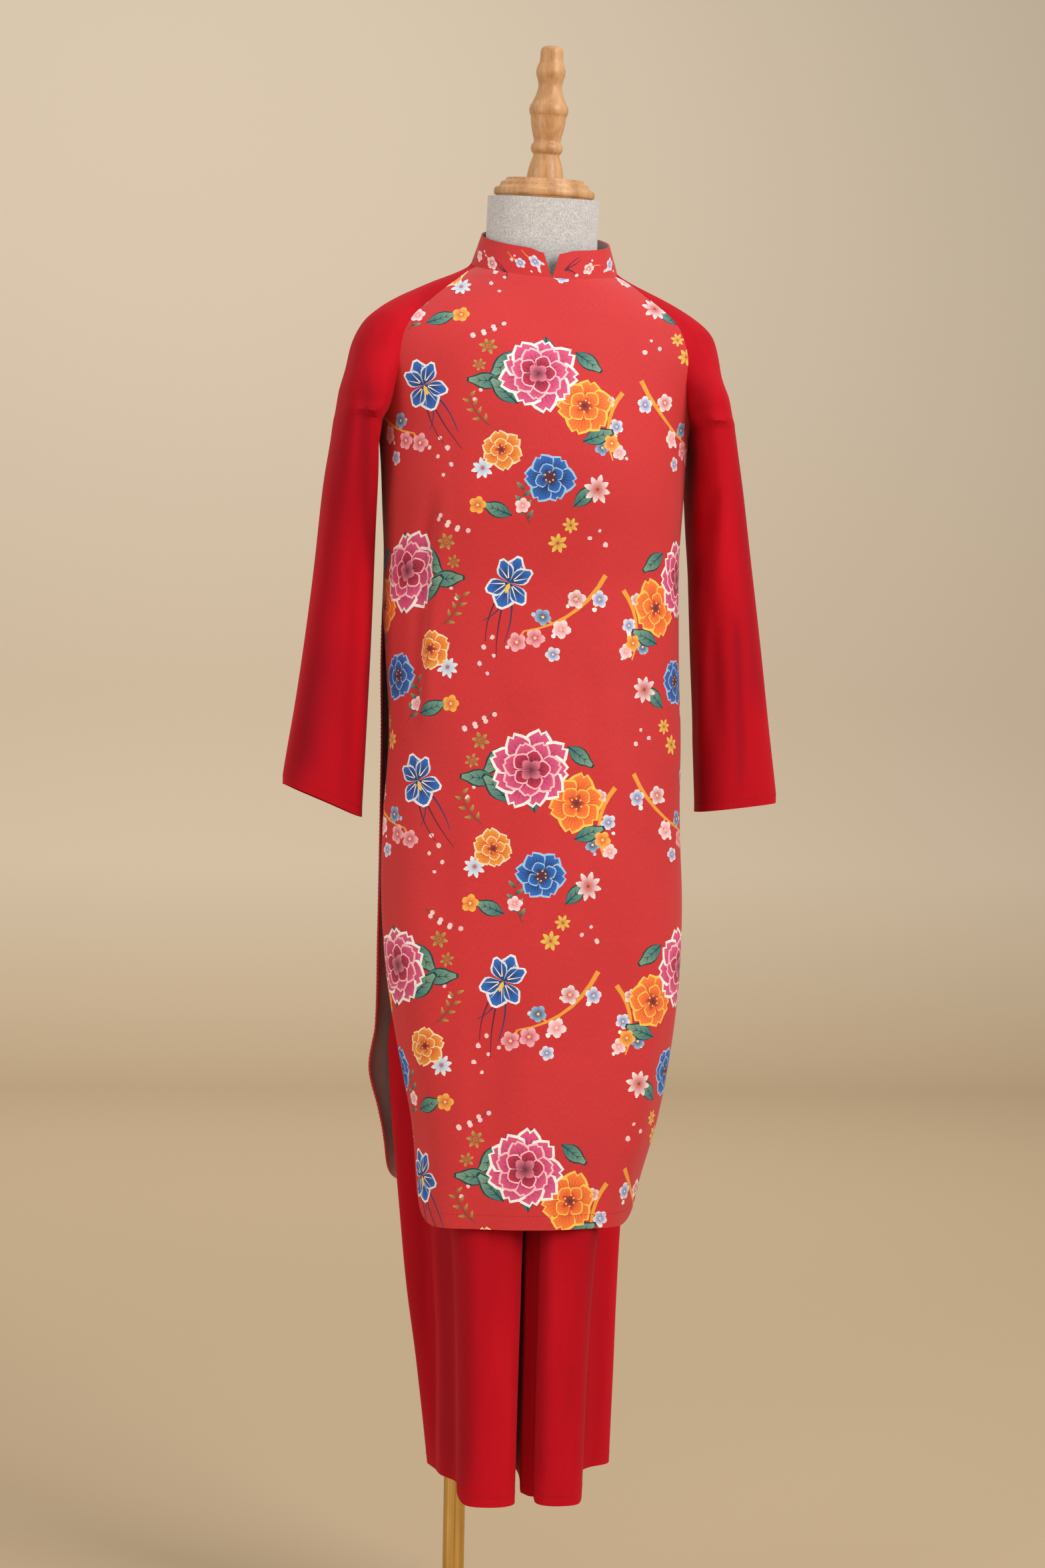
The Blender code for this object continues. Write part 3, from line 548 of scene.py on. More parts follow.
def along_line(points, normals, crease):
    """How much each point lies on the crease's line, 0 to 1."""
    path = np.array(crease.path) * MM
    x, z = points[..., 0], points[..., 2]
    line = np.interp(z, path[::-1, 1], path[::-1, 0])
    top, bottom = path[0, 1], path[-1, 1]
    end = min(0.3 * (top - bottom), 0.05)
    reach = eased(z, bottom, bottom + end) * (1 - eased(z, top - end, top))
    turned_to = eased(normals[..., 1] * crease.facing, 0.0, 0.35)
    return np.exp(-((x - line) / (crease.width * MM)) ** 2) * reach * turned_to


def press(points, normals, creases):
    """The points with each crease pressed in along the cloth's normal."""
    move = np.zeros(points.shape[:-1])
    for crease in creases:
        move -= crease.depth * MM * along_line(points, normals, crease)
    return points + normals * move[..., None]


def slack(points, normals, amount, seed):
    """Slow uneven waves of hanging cloth, longer down than across."""
    chance = random.Random(seed)
    move = np.zeros(points.shape[:-1])
    for _ in range(9):
        across = chance.uniform(35, 110)
        down = chance.uniform(-14, 14)
        phase = chance.uniform(0, math.tau)
        reach = across * (points[..., 0] + points[..., 1] * chance.uniform(-1, 1)) + points[..., 2] * down
        move += np.sin(reach + phase) / 3
    return points + normals * (move * amount)[..., None]


class Sheet:
    """A cloth piece's inner side: points and quads, with shared points merged."""

    def __init__(self):
        self.points = []
        self.index = {}
        self.faces = []

    def add(self, point):
        key = tuple(round(value * 1e5) for value in point)
        if key not in self.index:
            self.index[key] = len(self.points)
            self.points.append(tuple(point))
        return self.index[key]

    def grid(self, rows, flip=False):
        numbers = [[self.add(point) for point in row] for row in rows]
        for upper, lower in zip(numbers, numbers[1:]):
            for i in range(len(upper) - 1):
                corners = [upper[i], lower[i], lower[i + 1], upper[i + 1]]
                corners = [c for k, c in enumerate(corners) if c != corners[k - 1]]
                if len(set(corners)) > 2:
                    self.faces.append(corners[::-1] if flip else corners)


def outward(points, faces):
    """Unit normal at each point, from the faces round it."""
    quads = np.array([face if len(face) == 4 else face + face[-1:] for face in faces])
    corner = points[quads]
    normal = np.cross(corner[:, 2] - corner[:, 0], corner[:, 3] - corner[:, 1])
    total = np.zeros_like(points)
    for k in range(4):
        np.add.at(total, quads[:, k], normal)
    return total / np.maximum(np.linalg.norm(total, axis=1), 1e-12)[:, None]


def rim_of(faces):
    """The open edges, each in its face's direction."""
    edges = {(a, b) for face in faces for a, b in zip(face, face[1:] + face[:1])}
    return sorted((a, b) for a, b in edges if (b, a) not in edges)


def cloth_wall(name, points, normals, faces, material, thickness=CLOTH, lining=None):
    """A closed wall: the outer side first, then the inner side and the rim round its edges.

    A lining gives the inner side places and faces of its own, and the number there of each rim place.
    """
    count = len(points)
    inner_points, inner_faces, twin = lining or (points, faces, range(count))
    everything = np.concatenate([points + normals * thickness, inner_points])
    walls = [list(face) for face in faces]
    walls += [[corner + count for corner in face[::-1]] for face in inner_faces]
    walls += [[twin[a] + count, twin[b] + count, b, a] for a, b in rim_of(faces)]
    mesh = bpy.data.meshes.new(name)
    mesh.from_pydata(everything.tolist(), [], walls)
    mesh.materials.append(material)
    mesh.shade_smooth()
    mesh.set_sharp_from_angle(angle=math.radians(55))
    piece = bpy.data.objects.new(name, mesh)
    bpy.context.collection.objects.link(piece)
    return piece


def stitched(name, line, normals, material, slot, pitch=4.2 * MM, length=2.9 * MM, radius=0.32 * MM):
    """A row of stitches: a small bead of thread for each, along a line on the cloth's outer side."""
    line = line + normals * (CLOTH + 0.05 * MM)
    run = np.concatenate([[0], np.cumsum(np.linalg.norm(np.diff(line, axis=0), axis=1))])

    def at(table, place):
        return np.array([np.interp(place, run, table[:, axis]) for axis in range(3)])
    points, faces = [], []
    for place in np.arange(pitch, run[-1] - pitch / 2, pitch):
        middle = at(line, place)
        ahead = at(line, place + length / 2) - at(line, place - length / 2)
        ahead /= np.linalg.norm(ahead)
        side = np.cross(at(normals, place), ahead)
        side /= np.linalg.norm(side)
        up = np.cross(ahead, side)
        first = len(points)
        points.append(middle - ahead * length / 2)
        for share, size in ((-0.3, 0.85), (0.3, 0.85)):
            for k in range(6):
                a = math.tau * k / 6
                points.append(middle + ahead * length * share
                              + (side * math.cos(a) + up * math.sin(a)) * radius * size)
        points.append(middle + ahead * length / 2)
        for k in range(6):
            a, b = first + 1 + k, first + 1 + (k + 1) % 6
            faces += [[first, b, a], [a, b, b + 6, a + 6], [first + 13, a + 6, b + 6]]
    mesh = bpy.data.meshes.new(name)
    mesh.from_pydata([tuple(point) for point in points], [], faces)
    mesh.materials.append(material)
    mesh.shade_smooth()
    piece = bpy.data.objects.new(name, mesh)
    bpy.context.collection.objects.link(piece)
    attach(piece, "root")
    return piece


def carried(line, before, after, normals):
    """The line moved as the cloth round it was pressed and slackened, with the cloth's normals there."""
    tree = KDTree(len(before))
    for number, point in enumerate(before):
        tree.insert(point, number)
    tree.balance()
    nearest = [tree.find(point)[1] for point in line]
    return np.array([tuple(point) for point in line]) + (after - before)[nearest], normals[nearest]


def painted_shade_attribute(piece, normals, bands):
    """Painted shade: how far the velvet's colour is darkened along the bands, which follow its crease troughs
    and the recesses beside its folds.
    """
    mesh = piece.data
    places = np.empty(len(mesh.vertices) * 3)
    mesh.vertices.foreach_get("co", places)
    places = places.reshape(-1, 3)
    both = np.concatenate([normals, normals])
    total = np.zeros(len(places))
    for band in bands:
        total += band.depth * along_line(places, both, band)
    mesh.attributes.new("painted_shade", "FLOAT", "POINT").data.foreach_set("value", total.astype(np.float32))


def velvet_piece(name, sheet, node, creases, bands, wave, seed, hem=None):
    """The finished cloth and its hem's stitches, as a list."""
    before = np.array(sheet.points)
    points = press(before, outward(before, sheet.faces), creases)
    points = slack(points, outward(points, sheet.faces), wave, seed)
    normals = outward(points, sheet.faces)
    piece = cloth_wall(name, points, normals, sheet.faces, VELVET)
    # The velvet's painted shade along the bands, kept in the mesh for its colour
    painted_shade_attribute(piece, normals, bands)
    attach(piece, "root")
    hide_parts(node)
    if hem is None:
        return [piece]
    line = carried(hem, before, points, normals)
    return [piece, stitched(f"{name}_stitches", *line, VELVET_THREAD, "velvet")]


# Sleeves, trousers and waistband

SLEEVE_CREASES = {
    -1: [
        Crease(-1, 3.0, 9, [(-117, 1312), (-116, 1232), (-113, 1178), (-104, 1111), (-98, 1051), (-99, 960)]),
        Crease(-1, -2.2, 8, [(-104, 1300), (-101, 1215), (-95, 1150), (-91, 1080), (-93, 990)]),
        Crease(-1, -1.6, 7, [(-143, 1180), (-150, 1090), (-160, 990), (-168, 930)]),
        Crease(-1, 1.8, 8, [(-128, 1120), (-136, 1040), (-140, 950), (-143, 900)]),
        Crease(1, 3.2, 9, [(-118, 1300), (-124, 1200), (-121, 1090), (-132, 980)]),
        Crease(1, -2.2, 8, [(-140, 1260), (-146, 1150), (-152, 1020), (-166, 920)]),
        Crease(1, 2.2, 7, [(-104, 1180), (-108, 1080), (-118, 960)]),
    ],
    1: [
        Crease(-1, 3.4, 7, [(234, 1150), (228, 1105), (223, 1060), (218, 1010), (219, 950)]),
        Crease(-1, -2.4, 5, [(250, 1205), (246, 1120), (239, 1018), (237, 905)]),
        Crease(-1, 2.0, 6, [(262, 1090), (268, 1000), (273, 900)]),
        Crease(-1, 3.6, 4, [(241, 1205), (240, 1190), (239, 1165), (238, 1145)]),
        Crease(-1, -1.8, 5, [(226, 1212), (231, 1196), (233, 1170)]),
        Crease(1, 3.2, 8, [(236, 1290), (243, 1190), (240, 1080), (250, 970)]),
        Crease(1, -2.2, 7, [(256, 1230), (262, 1110), (270, 980), (276, 910)]),
        Crease(1, 2.2, 7, [(226, 1160), (231, 1050), (238, 940)]),
    ],
}
# Bands of painted shade on the sleeves, along their crease troughs, where shade falls
SLEEVE_SHADE_BANDS = {
    -1: [
        Crease(-1, 0.9, 7, [(-114, 1330), (-115, 1232), (-112, 1178), (-104, 1100)]),
        Crease(-1, 0.7, 12, [(-128, 1300), (-138, 1200), (-150, 1080), (-172, 930), (-182, 880)]),
        Crease(-1, 0.5, 16, [(-140, 1060), (-155, 960), (-166, 880)]),
        Crease(1, 0.7, 12, [(-122, 1310), (-130, 1180), (-140, 1040), (-160, 900)]),
    ],
    1: [
        Crease(-1, 0.9, 5, [(262, 1090), (266, 1044), (271, 960), (274, 880)]),
        Crease(-1, 0.6, 11, [(262, 1290), (272, 1180), (282, 1070), (296, 960)]),
        Crease(-1, 0.6, 6, [(232, 1160), (224, 1060), (219, 980)]),
        Crease(1, 0.7, 12, [(246, 1300), (254, 1180), (264, 1040), (280, 900)]),
    ],
}
LEG_CREASES = {
    -1: [
        Crease(-1, -1.2, 6, [(44, 600), (42, 480), (42, 340), (43, 200)]),
        Crease(-1, 1.1, 9, [(26, 560), (24, 430), (22, 300), (22, 200)]),
        Crease(-1, 1.4, 7, [(-32, 620), (-34, 480), (-26, 330), (-16, 220)]),
        Crease(1, 3.0, 9, [(-16, 490), (-13, 420), (-10, 350), (0, 220)]),
        Crease(1, -2.0, 8, [(20, 620), (20, 470), (24, 320), (28, 200)]),
    ],
    1: [
        Crease(-1, -1.3, 6, [(82, 600), (81, 480), (80, 340), (79, 200)]),
        Crease(-1, 1.2, 8, [(98, 560), (99, 430), (98, 300), (97, 200)]),
        Crease(-1, 1.6, 6, [(104, 330), (107, 290), (112, 262), (117, 245)]),
        Crease(-1, 1.4, 7, [(155, 500), (153, 420), (150, 330), (146, 220)]),
        Crease(1, 3.0, 9, [(147, 490), (145, 420), (142, 350), (136, 220)]),
        Crease(1, -2.0, 8, [(112, 620), (110, 470), (106, 320), (104, 200)]),
    ],
}
# Bands of painted shade on the trousers, in the recesses beside the folds and along their troughs
LEG_SHADE_BANDS = {
    -1: [
        Crease(-1, 0.35, 8, [(2, 600), (1, 450), (0, 320), (0, 190)]),
        Crease(-1, 0.8, 12, [(-20, 600), (-18, 450), (-15, 320), (-12, 190)]),
        Crease(1, 0.6, 12, [(0, 700), (4, 500), (10, 350), (16, 190)]),
    ],
    1: [
        Crease(-1, 0.4, 7, [(76, 600), (76, 450), (75, 320), (75, 190)]),
        Crease(-1, 0.7, 9, [(132, 600), (128, 450), (126, 320), (124, 190)]),
        Crease(1, 0.6, 12, [(132, 700), (130, 500), (126, 350), (122, 190)]),
    ],
}


def fine_sleeve(side):
    """One raglan sleeve: its head between the front and back seams, then the tube down to the cuff."""
    turns = spread(66)
    head = [[yoke_point(side, 1 + u, v) for u in turns] for v in spread(44)]
    tube = [[sleeve_tube_point(side, u if u < 1 else 0.0, w) for u in turns] for w in spread(80)[1:]]
    sheet = Sheet()
    sheet.grid(head + tube, flip=side < 0)
    return sheet


def fine_leg(side):
    """One trouser leg: the shell from the hips to the hem and the inseam wall between the legs."""
    hips = spread(34, WAIST_TOP - WAISTBAND_HEIGHT, CROTCH)
    lower = spread(96, CROTCH, TROUSER_HEM)
    sheet = Sheet()
    sheet.grid([[lifted(leg_point(side, k, z)) for k in spread(112)] for z in hips + lower[1:]], flip=side < 0)
    sheet.grid([[lifted(inseam_point(side, k, z)) for k in spread(22)] for z in lower], flip=side < 0)
    return sheet


def cuff_line(side):
    """Where the cuff's hem is stitched."""
    w = 1 - 9 * MM / (UNDERARM - CUFF)
    return [sleeve_tube_point(side, u if u < 1 else 0.0, w) for u in spread(130)]


def trouser_hem_line(side):
    z = TROUSER_HEM + 10 * MM
    return [lifted(leg_point(side, k, z)) for k in spread(220)] + \
        [lifted(inseam_point(side, k, z)) for k in spread(40)[1:]]


def fine_waistband():
    """The elastic casing, gathered in small vertical puffs."""
    sheet = Sheet()
    levels = spread(8, WAIST_TOP, WAIST_TOP - WAISTBAND_HEIGHT)
    for side in (-1, 1):
        rows = []
        for z in levels:
            rise = (WAIST_TOP - z) / WAISTBAND_HEIGHT
            puff = 1.1 * MM * math.sin(math.pi * rise)
            row = []
            for k in spread(150):
                point = hip_point(side, 180 * k, z)
                away = Vector((point.x - CENTRE_X, point.y, 0)).normalized()
                row.append(point + away * puff * (0.5 + 0.5 * math.sin(k * 46 * math.tau)))
            rows.append(row)
        sheet.grid(rows, flip=side < 0)
    return sheet


# The printed cloth. Each piece is a dense grid; a flat place (across, down) on the cloth finds its point.

class Cut:
    """A printed piece on a dense grid of rows and columns, and its flat places in metres."""

    def __init__(self, rows, middle, creases=(), wave=0.0, seed=0, by_height=True):
        points = np.array([[tuple(point) for point in row] for row in rows])
        points = press(points, self.facing(points), creases)
        points = slack(points, self.facing(points), wave, seed)
        normals = self.facing(points)
        steps = np.linalg.norm(np.diff(points, axis=1), axis=2)
        run = np.concatenate([np.zeros((len(points), 1)), np.cumsum(steps, axis=1)], axis=1)
        across = run - run[:, middle:middle + 1]
        falls = np.linalg.norm(np.diff(points, axis=0), axis=2)
        down = np.concatenate([np.zeros((1, falls.shape[1])), np.cumsum(falls, axis=0)], axis=0)
        if by_height:
            height = points[:, middle, 2]
            above = np.maximum(points[..., 2] - height[0], 0)
            down = np.interp(-points[..., 2], -height, down[:, middle]) - above
        self.fields = np.concatenate([across[..., None], down[..., None], points, normals], axis=2)
        self.rows, self.columns = len(points) - 1, len(points[0]) - 1

    @staticmethod
    def facing(points):
        normal = np.cross(np.gradient(points, axis=0), np.gradient(points, axis=1))
        return normal / np.maximum(np.linalg.norm(normal, axis=2), 1e-12)[..., None]

    def sample(self, row, column):
        """The fields at fractional grid places, with their slopes down and across."""
        i = np.clip(row.astype(int), 0, self.rows - 1)
        j = np.clip(column.astype(int), 0, self.columns - 1)
        fi, fj = (row - i)[:, None], (column - j)[:, None]
        a, b = self.fields[i, j], self.fields[i, j + 1]
        c, d = self.fields[i + 1, j], self.fields[i + 1, j + 1]
        value = (a * (1 - fj) + b * fj) * (1 - fi) + (c * (1 - fj) + d * fj) * fi
        return value, (c - a) * (1 - fj) + (d - b) * fj, (b - a) * (1 - fi) + (d - c) * fi

    def find(self, flat):
        """Grid places of flat places, by a few Newton steps."""
        down = self.fields[:, self.columns // 2, 1]
        row = np.interp(flat[:, 1], down, np.arange(self.rows + 1))
        column = np.full(len(flat), self.columns / 2)
        for _ in range(14):
            value, fall, side = self.sample(row, column)
            miss = flat - value[:, :2]
            scale = fall[:, 0] * side[:, 1] - fall[:, 1] * side[:, 0]
            scale = np.where(np.abs(scale) < 1e-12, -1e-12, scale)
            row_step = (miss[:, 0] * side[:, 1] - miss[:, 1] * side[:, 0]) / scale
            column_step = (fall[:, 0] * miss[:, 1] - fall[:, 1] * miss[:, 0]) / scale
            row = np.clip(row + np.clip(row_step, -20, 20), 0, self.rows)
            column = np.clip(column + np.clip(column_step, -20, 20), 0, self.columns)
        return row, column

    def edge(self, step):
        """Flat places round the piece, counter-clockwise."""
        r, c = self.rows, self.columns
        places = [(0, j) for j in range(0, c, step)] + [(i, c) for i in range(0, r, step)]
        places += [(r, j) for j in range(c, 0, -step)] + [(i, 0) for i in range(r, 0, -step)]
        line = np.array([self.fields[place][:2] for place in places])
        area = np.sum(line[:, 0] * np.roll(line[:, 1], -1) - np.roll(line[:, 0], -1) * line[:, 1])
        return line if area > 0 else line[::-1]


def hem_line(cut, top, edges):
    """Places and normals of the stitches down the slit edges, 9 mm in, and along the hem, 14 mm up."""
    rows, columns = cut.rows, cut.columns
    across, down = cut.fields[..., 0], cut.fields[..., 1]

    def in_from(row, edge):
        start = across[row, 0] + 9 * MM if edge < 0 else across[row, -1] - 9 * MM
        return float(np.interp(start, across[row], np.arange(columns + 1)))

    def up_from(column):
        line = down[:, int(round(column))]
        return float(np.interp(line[-1] - 14 * MM, line, np.arange(rows + 1)))
    first = in_from(rows - 6, -1) if -1 in edges else 0.6
    last = in_from(rows - 6, 1) if 1 in edges else columns - 0.6
    places = []
    if -1 in edges:
        places += [(row, in_from(row, -1)) for row in range(top, int(up_from(first)) - 1, 2)]
    places += [(up_from(column), column) for column in np.linspace(first, last, 120)]
    if 1 in edges:
        places += [(row, in_from(row, 1)) for row in range(int(up_from(last)) - 1, top, -2)]
    row, column = np.array(places).T
    value = cut.sample(row, column)[0]
    return value[:, 2:5], value[:, 5:8] / np.linalg.norm(value[:, 5:8], axis=1)[:, None]


Shape = namedtuple("Shape", "outline root reach inner outer")


def trimmed(outline, slack=0.16 * MM):
    """The outline without the places that lie almost on the line between their neighbours."""
    kept = [outline[0]]
    for (x, y), after in zip(outline[1:], outline[2:] + outline[:1]):
        run_x, run_y = after[0] - kept[-1][0], after[1] - kept[-1][1]
        off = abs(run_x * (y - kept[-1][1]) - run_y * (x - kept[-1][0]))
        if off > slack * math.hypot(run_x, run_y):
            kept.append((x, y))
    return kept if len(kept) > 3 else outline


def filled(cut, places, loops, step):
    """Triangles of the flat piece: its loops stay as edges, and the cut's own grid fills the rest."""
    tree = KDTree(len(places))
    for number, place in enumerate(places):
        tree.insert((*place, 0), number)
    tree.balance()
    grid = cut.fields[step:-step:step, step:-step:step, :2].reshape(-1, 2)
    places = places + [tuple(place) for place in grid if tree.find((*place, 0))[2] > 2.2 * MM]
    flat, _, faces, given, _, sources = delaunay_2d_cdt([Vector(place) for place in places], [], loops, 0, 1e-6)
    return np.array([tuple(place) for place in flat]), faces, given, sources


def lay_print(cut, shapes, step):
    """Triangles of the flat piece that keep the print's outlines as edges, with each one's top shape."""
    edge = cut.edge(step)
    low, high = edge.min(axis=0), edge.max(axis=0)
    places = [tuple(place) for place in edge]
    loops = [list(range(len(places)))]
    used = [None]
    for shape in shapes:
        outline = np.array(shape.outline)
        if (outline.max(axis=0) < low).any() or (outline.min(axis=0) > high).any():
            continue
        line = trimmed(list(shape.outline))
        loops.append(list(range(len(places), len(places) + len(line))))
        places += line
        used.append(shape)
    flat, faces, _, sources = filled(cut, places, loops, step)
    return flat, [(face, used[max(source)]) for face, source in zip(faces, sources) if 0 in source]


def plain_lining(cut, flat, faces, step):
    """The inner side, with no print to follow: flat places, faces and the number of each rim place."""
    follows = dict(rim_of(faces))
    rim = [min(follows)]
    while follows[rim[-1]] != rim[0]:
        rim.append(follows[rim[-1]])
    inner, triangles, given, sources = filled(cut, [tuple(flat[corner]) for corner in rim],
                                              [list(range(len(rim)))], step)
    triangles = [face for face, source in zip(triangles, sources) if source]
    used = sorted({corner for face in triangles for corner in face})
    number = {old: new for new, old in enumerate(used)}
    twin = {rim[place]: number[old] for old in used for place in given[old] if place < len(rim)}
    return inner[used], [[number[corner] for corner in face] for face in triangles], twin


def printed_piece(name, cut, shapes, node, step=2):
    flat, kept = lay_print(cut, shapes, step)
    row, column = cut.find(flat)
    value = cut.sample(row, column)[0]
    points = value[:, 2:5]
    normals = value[:, 5:8] / np.linalg.norm(value[:, 5:8], axis=1)[:, None]
    used = sorted({corner for face, _ in kept for corner in face})
    number = {old: new for new, old in enumerate(used)}
    faces = [[number[corner] for corner in face] for face, _ in kept]
    points, normals, flat = points[used], normals[used], flat[used]
    corner = points[np.array([face[:3] for face in faces])]
    turned_over = np.cross(corner[:, 1] - corner[:, 0], corner[:, 2] - corner[:, 0])
    inner, inner_faces, twin = plain_lining(cut, flat, faces, step)
    if np.sum(turned_over * normals[[face[0] for face in faces]]) < 0:
        faces, inner_faces = [face[::-1] for face in faces], [face[::-1] for face in inner_faces]
    inner_points = cut.sample(*cut.find(inner))[0][:, 2:5]
    piece = cloth_wall(name, points, normals, faces, PRINT, lining=(inner_points, inner_faces, twin))
    colours = []
    for face, (_, shape) in zip(faces, kept):
        colours += [ink(shape, flat[corner]) for corner in face]
    colours += [mixed(WRONG_SIDE, GROUND, 0.10)] * sum(len(face) for face in inner_faces)
    mesh = piece.data
    layer = mesh.color_attributes.new("print", "FLOAT_COLOR", "CORNER")
    rest = len(mesh.loops) - len(colours)
    colours += [GROUND] * rest
    layer.data.foreach_set("color", np.array([(*colour, 1) for colour in colours], dtype=np.float32).ravel())
    weave = mesh.uv_layers.new(name="flat")
    ends = np.concatenate([flat, inner])
    corners = np.empty(len(mesh.loops), dtype=np.int32)
    mesh.loops.foreach_get("vertex_index", corners)
    weave.data.foreach_set("uv", ends[corners].astype(np.float32).ravel())
    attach(piece, "root")
    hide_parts(node)
    return piece


def linear(red, green, blue):
    """A screen colour, 0 to 255, as the light it stands for."""
    return tuple(c / 255 / 12.92 if c < 10 else ((c / 255 + 0.055) / 1.055) ** 2.4 for c in (red, green, blue))


def mixed(a, b, share):
    return tuple(p + (q - p) * share for p, q in zip(a, b))


GROUND = linear(193, 41, 43)
WRONG_SIDE = linear(214, 200, 196)
WHITE = linear(240, 232, 226)
CREAM = linear(244, 214, 170)
YELLOW = linear(240, 190, 78)
ORANGE = linear(238, 124, 48)
DEEP_ORANGE = linear(212, 78, 36)
BLUSH = linear(244, 186, 190)
PINK = linear(228, 122, 146)
ROSE = linear(190, 44, 78)
SKY = linear(150, 190, 222)
BLUE = linear(66, 112, 172)
NAVY = linear(28, 48, 92)
TEAL = linear(38, 104, 104)
PINE = linear(22, 56, 58)
SAGE = linear(120, 156, 130)
BROWN = linear(122, 58, 44)
PLUM = linear(92, 24, 44)
MAGENTA = linear(160, 22, 78)
GOLD = linear(226, 152, 52)
OLIVE = linear(186, 158, 74)
STRONG_BLUE = linear(40, 104, 190)
HOT_PINK = linear(212, 84, 126)


def ink(shape, place):
    """The print's colour at a flat place: the shape's, from its root outwards, or the ground's."""
    if shape is None:
        return GROUND
    share = math.hypot(place[0] - shape.root[0], place[1] - shape.root[1]) / shape.reach
    return mixed(shape.inner, shape.outer, min(share, 1.0) ** 1.3)


class Design:
    """Motifs laid on the flat cloth; sizes in mm, places in metres across and down."""

    def __init__(self, seed):
        self.shapes = []
        self.chance = random.Random(seed)

    def add(self, local, place, turn, size, inner, outer, root=(0, 0), reach=None):
        """One outline given in its own frame, pointing away from (0, 0) along +y."""
        sine, cosine = math.sin(turn), math.cos(turn)

        def at(x, y):
            return (place[0] + (x * cosine + y * sine) * size * MM,
                    place[1] - (-x * sine + y * cosine) * size * MM)
        line = [at(x, y) for x, y in local]
        area = sum(a[0] * b[1] - b[0] * a[1] for a, b in zip(line, line[1:] + line[:1]))
        reach = reach or max(math.hypot(x - root[0], y - root[1]) for x, y in local)
        self.shapes.append(Shape(line if area > 0 else line[::-1], at(*root), reach * size * MM, inner, outer))

    def petal(self, place, turn, length, width, inner, outer, tip=1.0, notch=0.0, start=0.0, sides=5):
        """tip over 1 is fuller near the end; notch dents the end."""
        right = []
        for k in range(1, sides + 1):
            a = k / (sides + 1)
            right.append((width / 2 * math.sin(math.pi * a ** tip), start + (length - start) * a))
        end = [(width * 0.12, length), (0, length * (1 - notch)), (-width * 0.12, length)]
        line = [(0, start)] + right + end + [(-x, y) for x, y in reversed(right)]
        self.add(line, place, turn, 1.0, inner, outer, root=(0, start))

    def disc(self, place, radius, inner, outer, sides=8, wobble=0.0):
        line = []
        for k in range(sides):
            r = radius * (1 + wobble * self.chance.uniform(-1, 1))
            line.append((r * math.sin(math.tau * k / sides), r * math.cos(math.tau * k / sides)))
        self.add(line, place, 0.0, 1.0, inner, outer)

    def ring(self, place, turn, count, length, width, inner, outer, **shape):
        for k in range(count):
            lean = self.chance.uniform(-0.07, 0.07)
            long = length * self.chance.uniform(0.92, 1.06)
            self.petal(place, turn + math.tau * k / count + lean, long, width, inner, outer, **shape)

    def stamens(self, place, radius, count, size, colour):
        for k in range(count):
            a = math.tau * k / count + self.chance.uniform(-0.2, 0.2)
            r = radius * MM * self.chance.uniform(0.75, 1.1)
            self.disc((place[0] + r * math.sin(a), place[1] + r * math.cos(a)), size, colour, colour, sides=5)

    def stroke(self, place, turn, start, end, width, colour):
        """A tapered line in a motif's own frame."""
        self.add([(start[0] - width / 2, start[1]), end, (start[0] + width / 2, start[1])],
                 place, turn, 1.0, colour, colour)

    def lined(self, place, turn, count, length, width, base, edge, line, strokes=3, **shape):
        """A ring of pale-edged petals with fine lines that fan out from their roots."""
        for k in range(count):
            heading = turn + math.tau * k / count + self.chance.uniform(-0.09, 0.09)
            long = length * self.chance.uniform(0.90, 1.07)
            wide = width * self.chance.uniform(0.92, 1.08)
            self.petal(place, heading, long, wide, edge, edge, **shape)
            self.petal(place, heading, long * 0.93, wide * 0.84, line, base, **shape)
            for j in range(strokes):
                lean = (j + 0.5) / strokes * 2 - 1
                self.stroke(place, heading, (wide * 0.06 * lean, long * 0.3),
                            (wide * 0.36 * lean, long * (0.84 - 0.13 * abs(lean))), wide * 0.07, line)

    def full_bloom(self, place, size, turn=0.0, edge=WHITE, deep=HOT_PINK, heart=MAGENTA):
        """A many-petalled round flower, pale at the rim and deep at the heart."""
        self.lined(place, turn, 9, size, size * 0.76, deep, edge, heart, 4, tip=1.7, notch=0.09)
        self.lined(place, turn + 0.35, 7, size * 0.74, size * 0.58, deep, BLUSH, heart, 3, tip=1.7, notch=0.06)
        self.lined(place, turn + 0.1, 5, size * 0.5, size * 0.44, ROSE, BLUSH, PLUM, 2, tip=1.6)
        self.ring(place, turn + 0.6, 4, size * 0.27, size * 0.26, PLUM, PINK, tip=1.3, sides=3)

    def cup(self, place, size, turn=0.0, edge=ORANGE, deep=DEEP_ORANGE, light=YELLOW):
        """An open flower with a dark heart."""
        self.lined(place, turn, 6, size, size * 0.98, edge, light, deep, 5, tip=1.6, notch=0.12)
        self.lined(place, turn + 0.5, 4, size * 0.6, size * 0.58, edge, light, deep, 3, tip=1.5)
        self.ring(place, turn, 5, size * 0.32, size * 0.2, PLUM, deep, tip=0.8, sides=3)
        self.stamens(place, size * 0.2, 6, size * 0.04, YELLOW)

    def daisy(self, place, size, turn=0.0, petals=10, inner=PINK, outer=WHITE, heart=YELLOW):
        self.ring(place, turn, petals, size, size * 0.46, inner, outer, tip=1.3, sides=3)
        self.disc(place, size * 0.24, heart, ORANGE, sides=7)

    def blossom(self, place, size, turn=0.0, inner=PINK, outer=WHITE):
        self.ring(place, turn, 5, size, size * 0.86, inner, outer, tip=1.5, sides=4, notch=0.08)
        self.disc(place, size * 0.17, YELLOW, CREAM, sides=6)

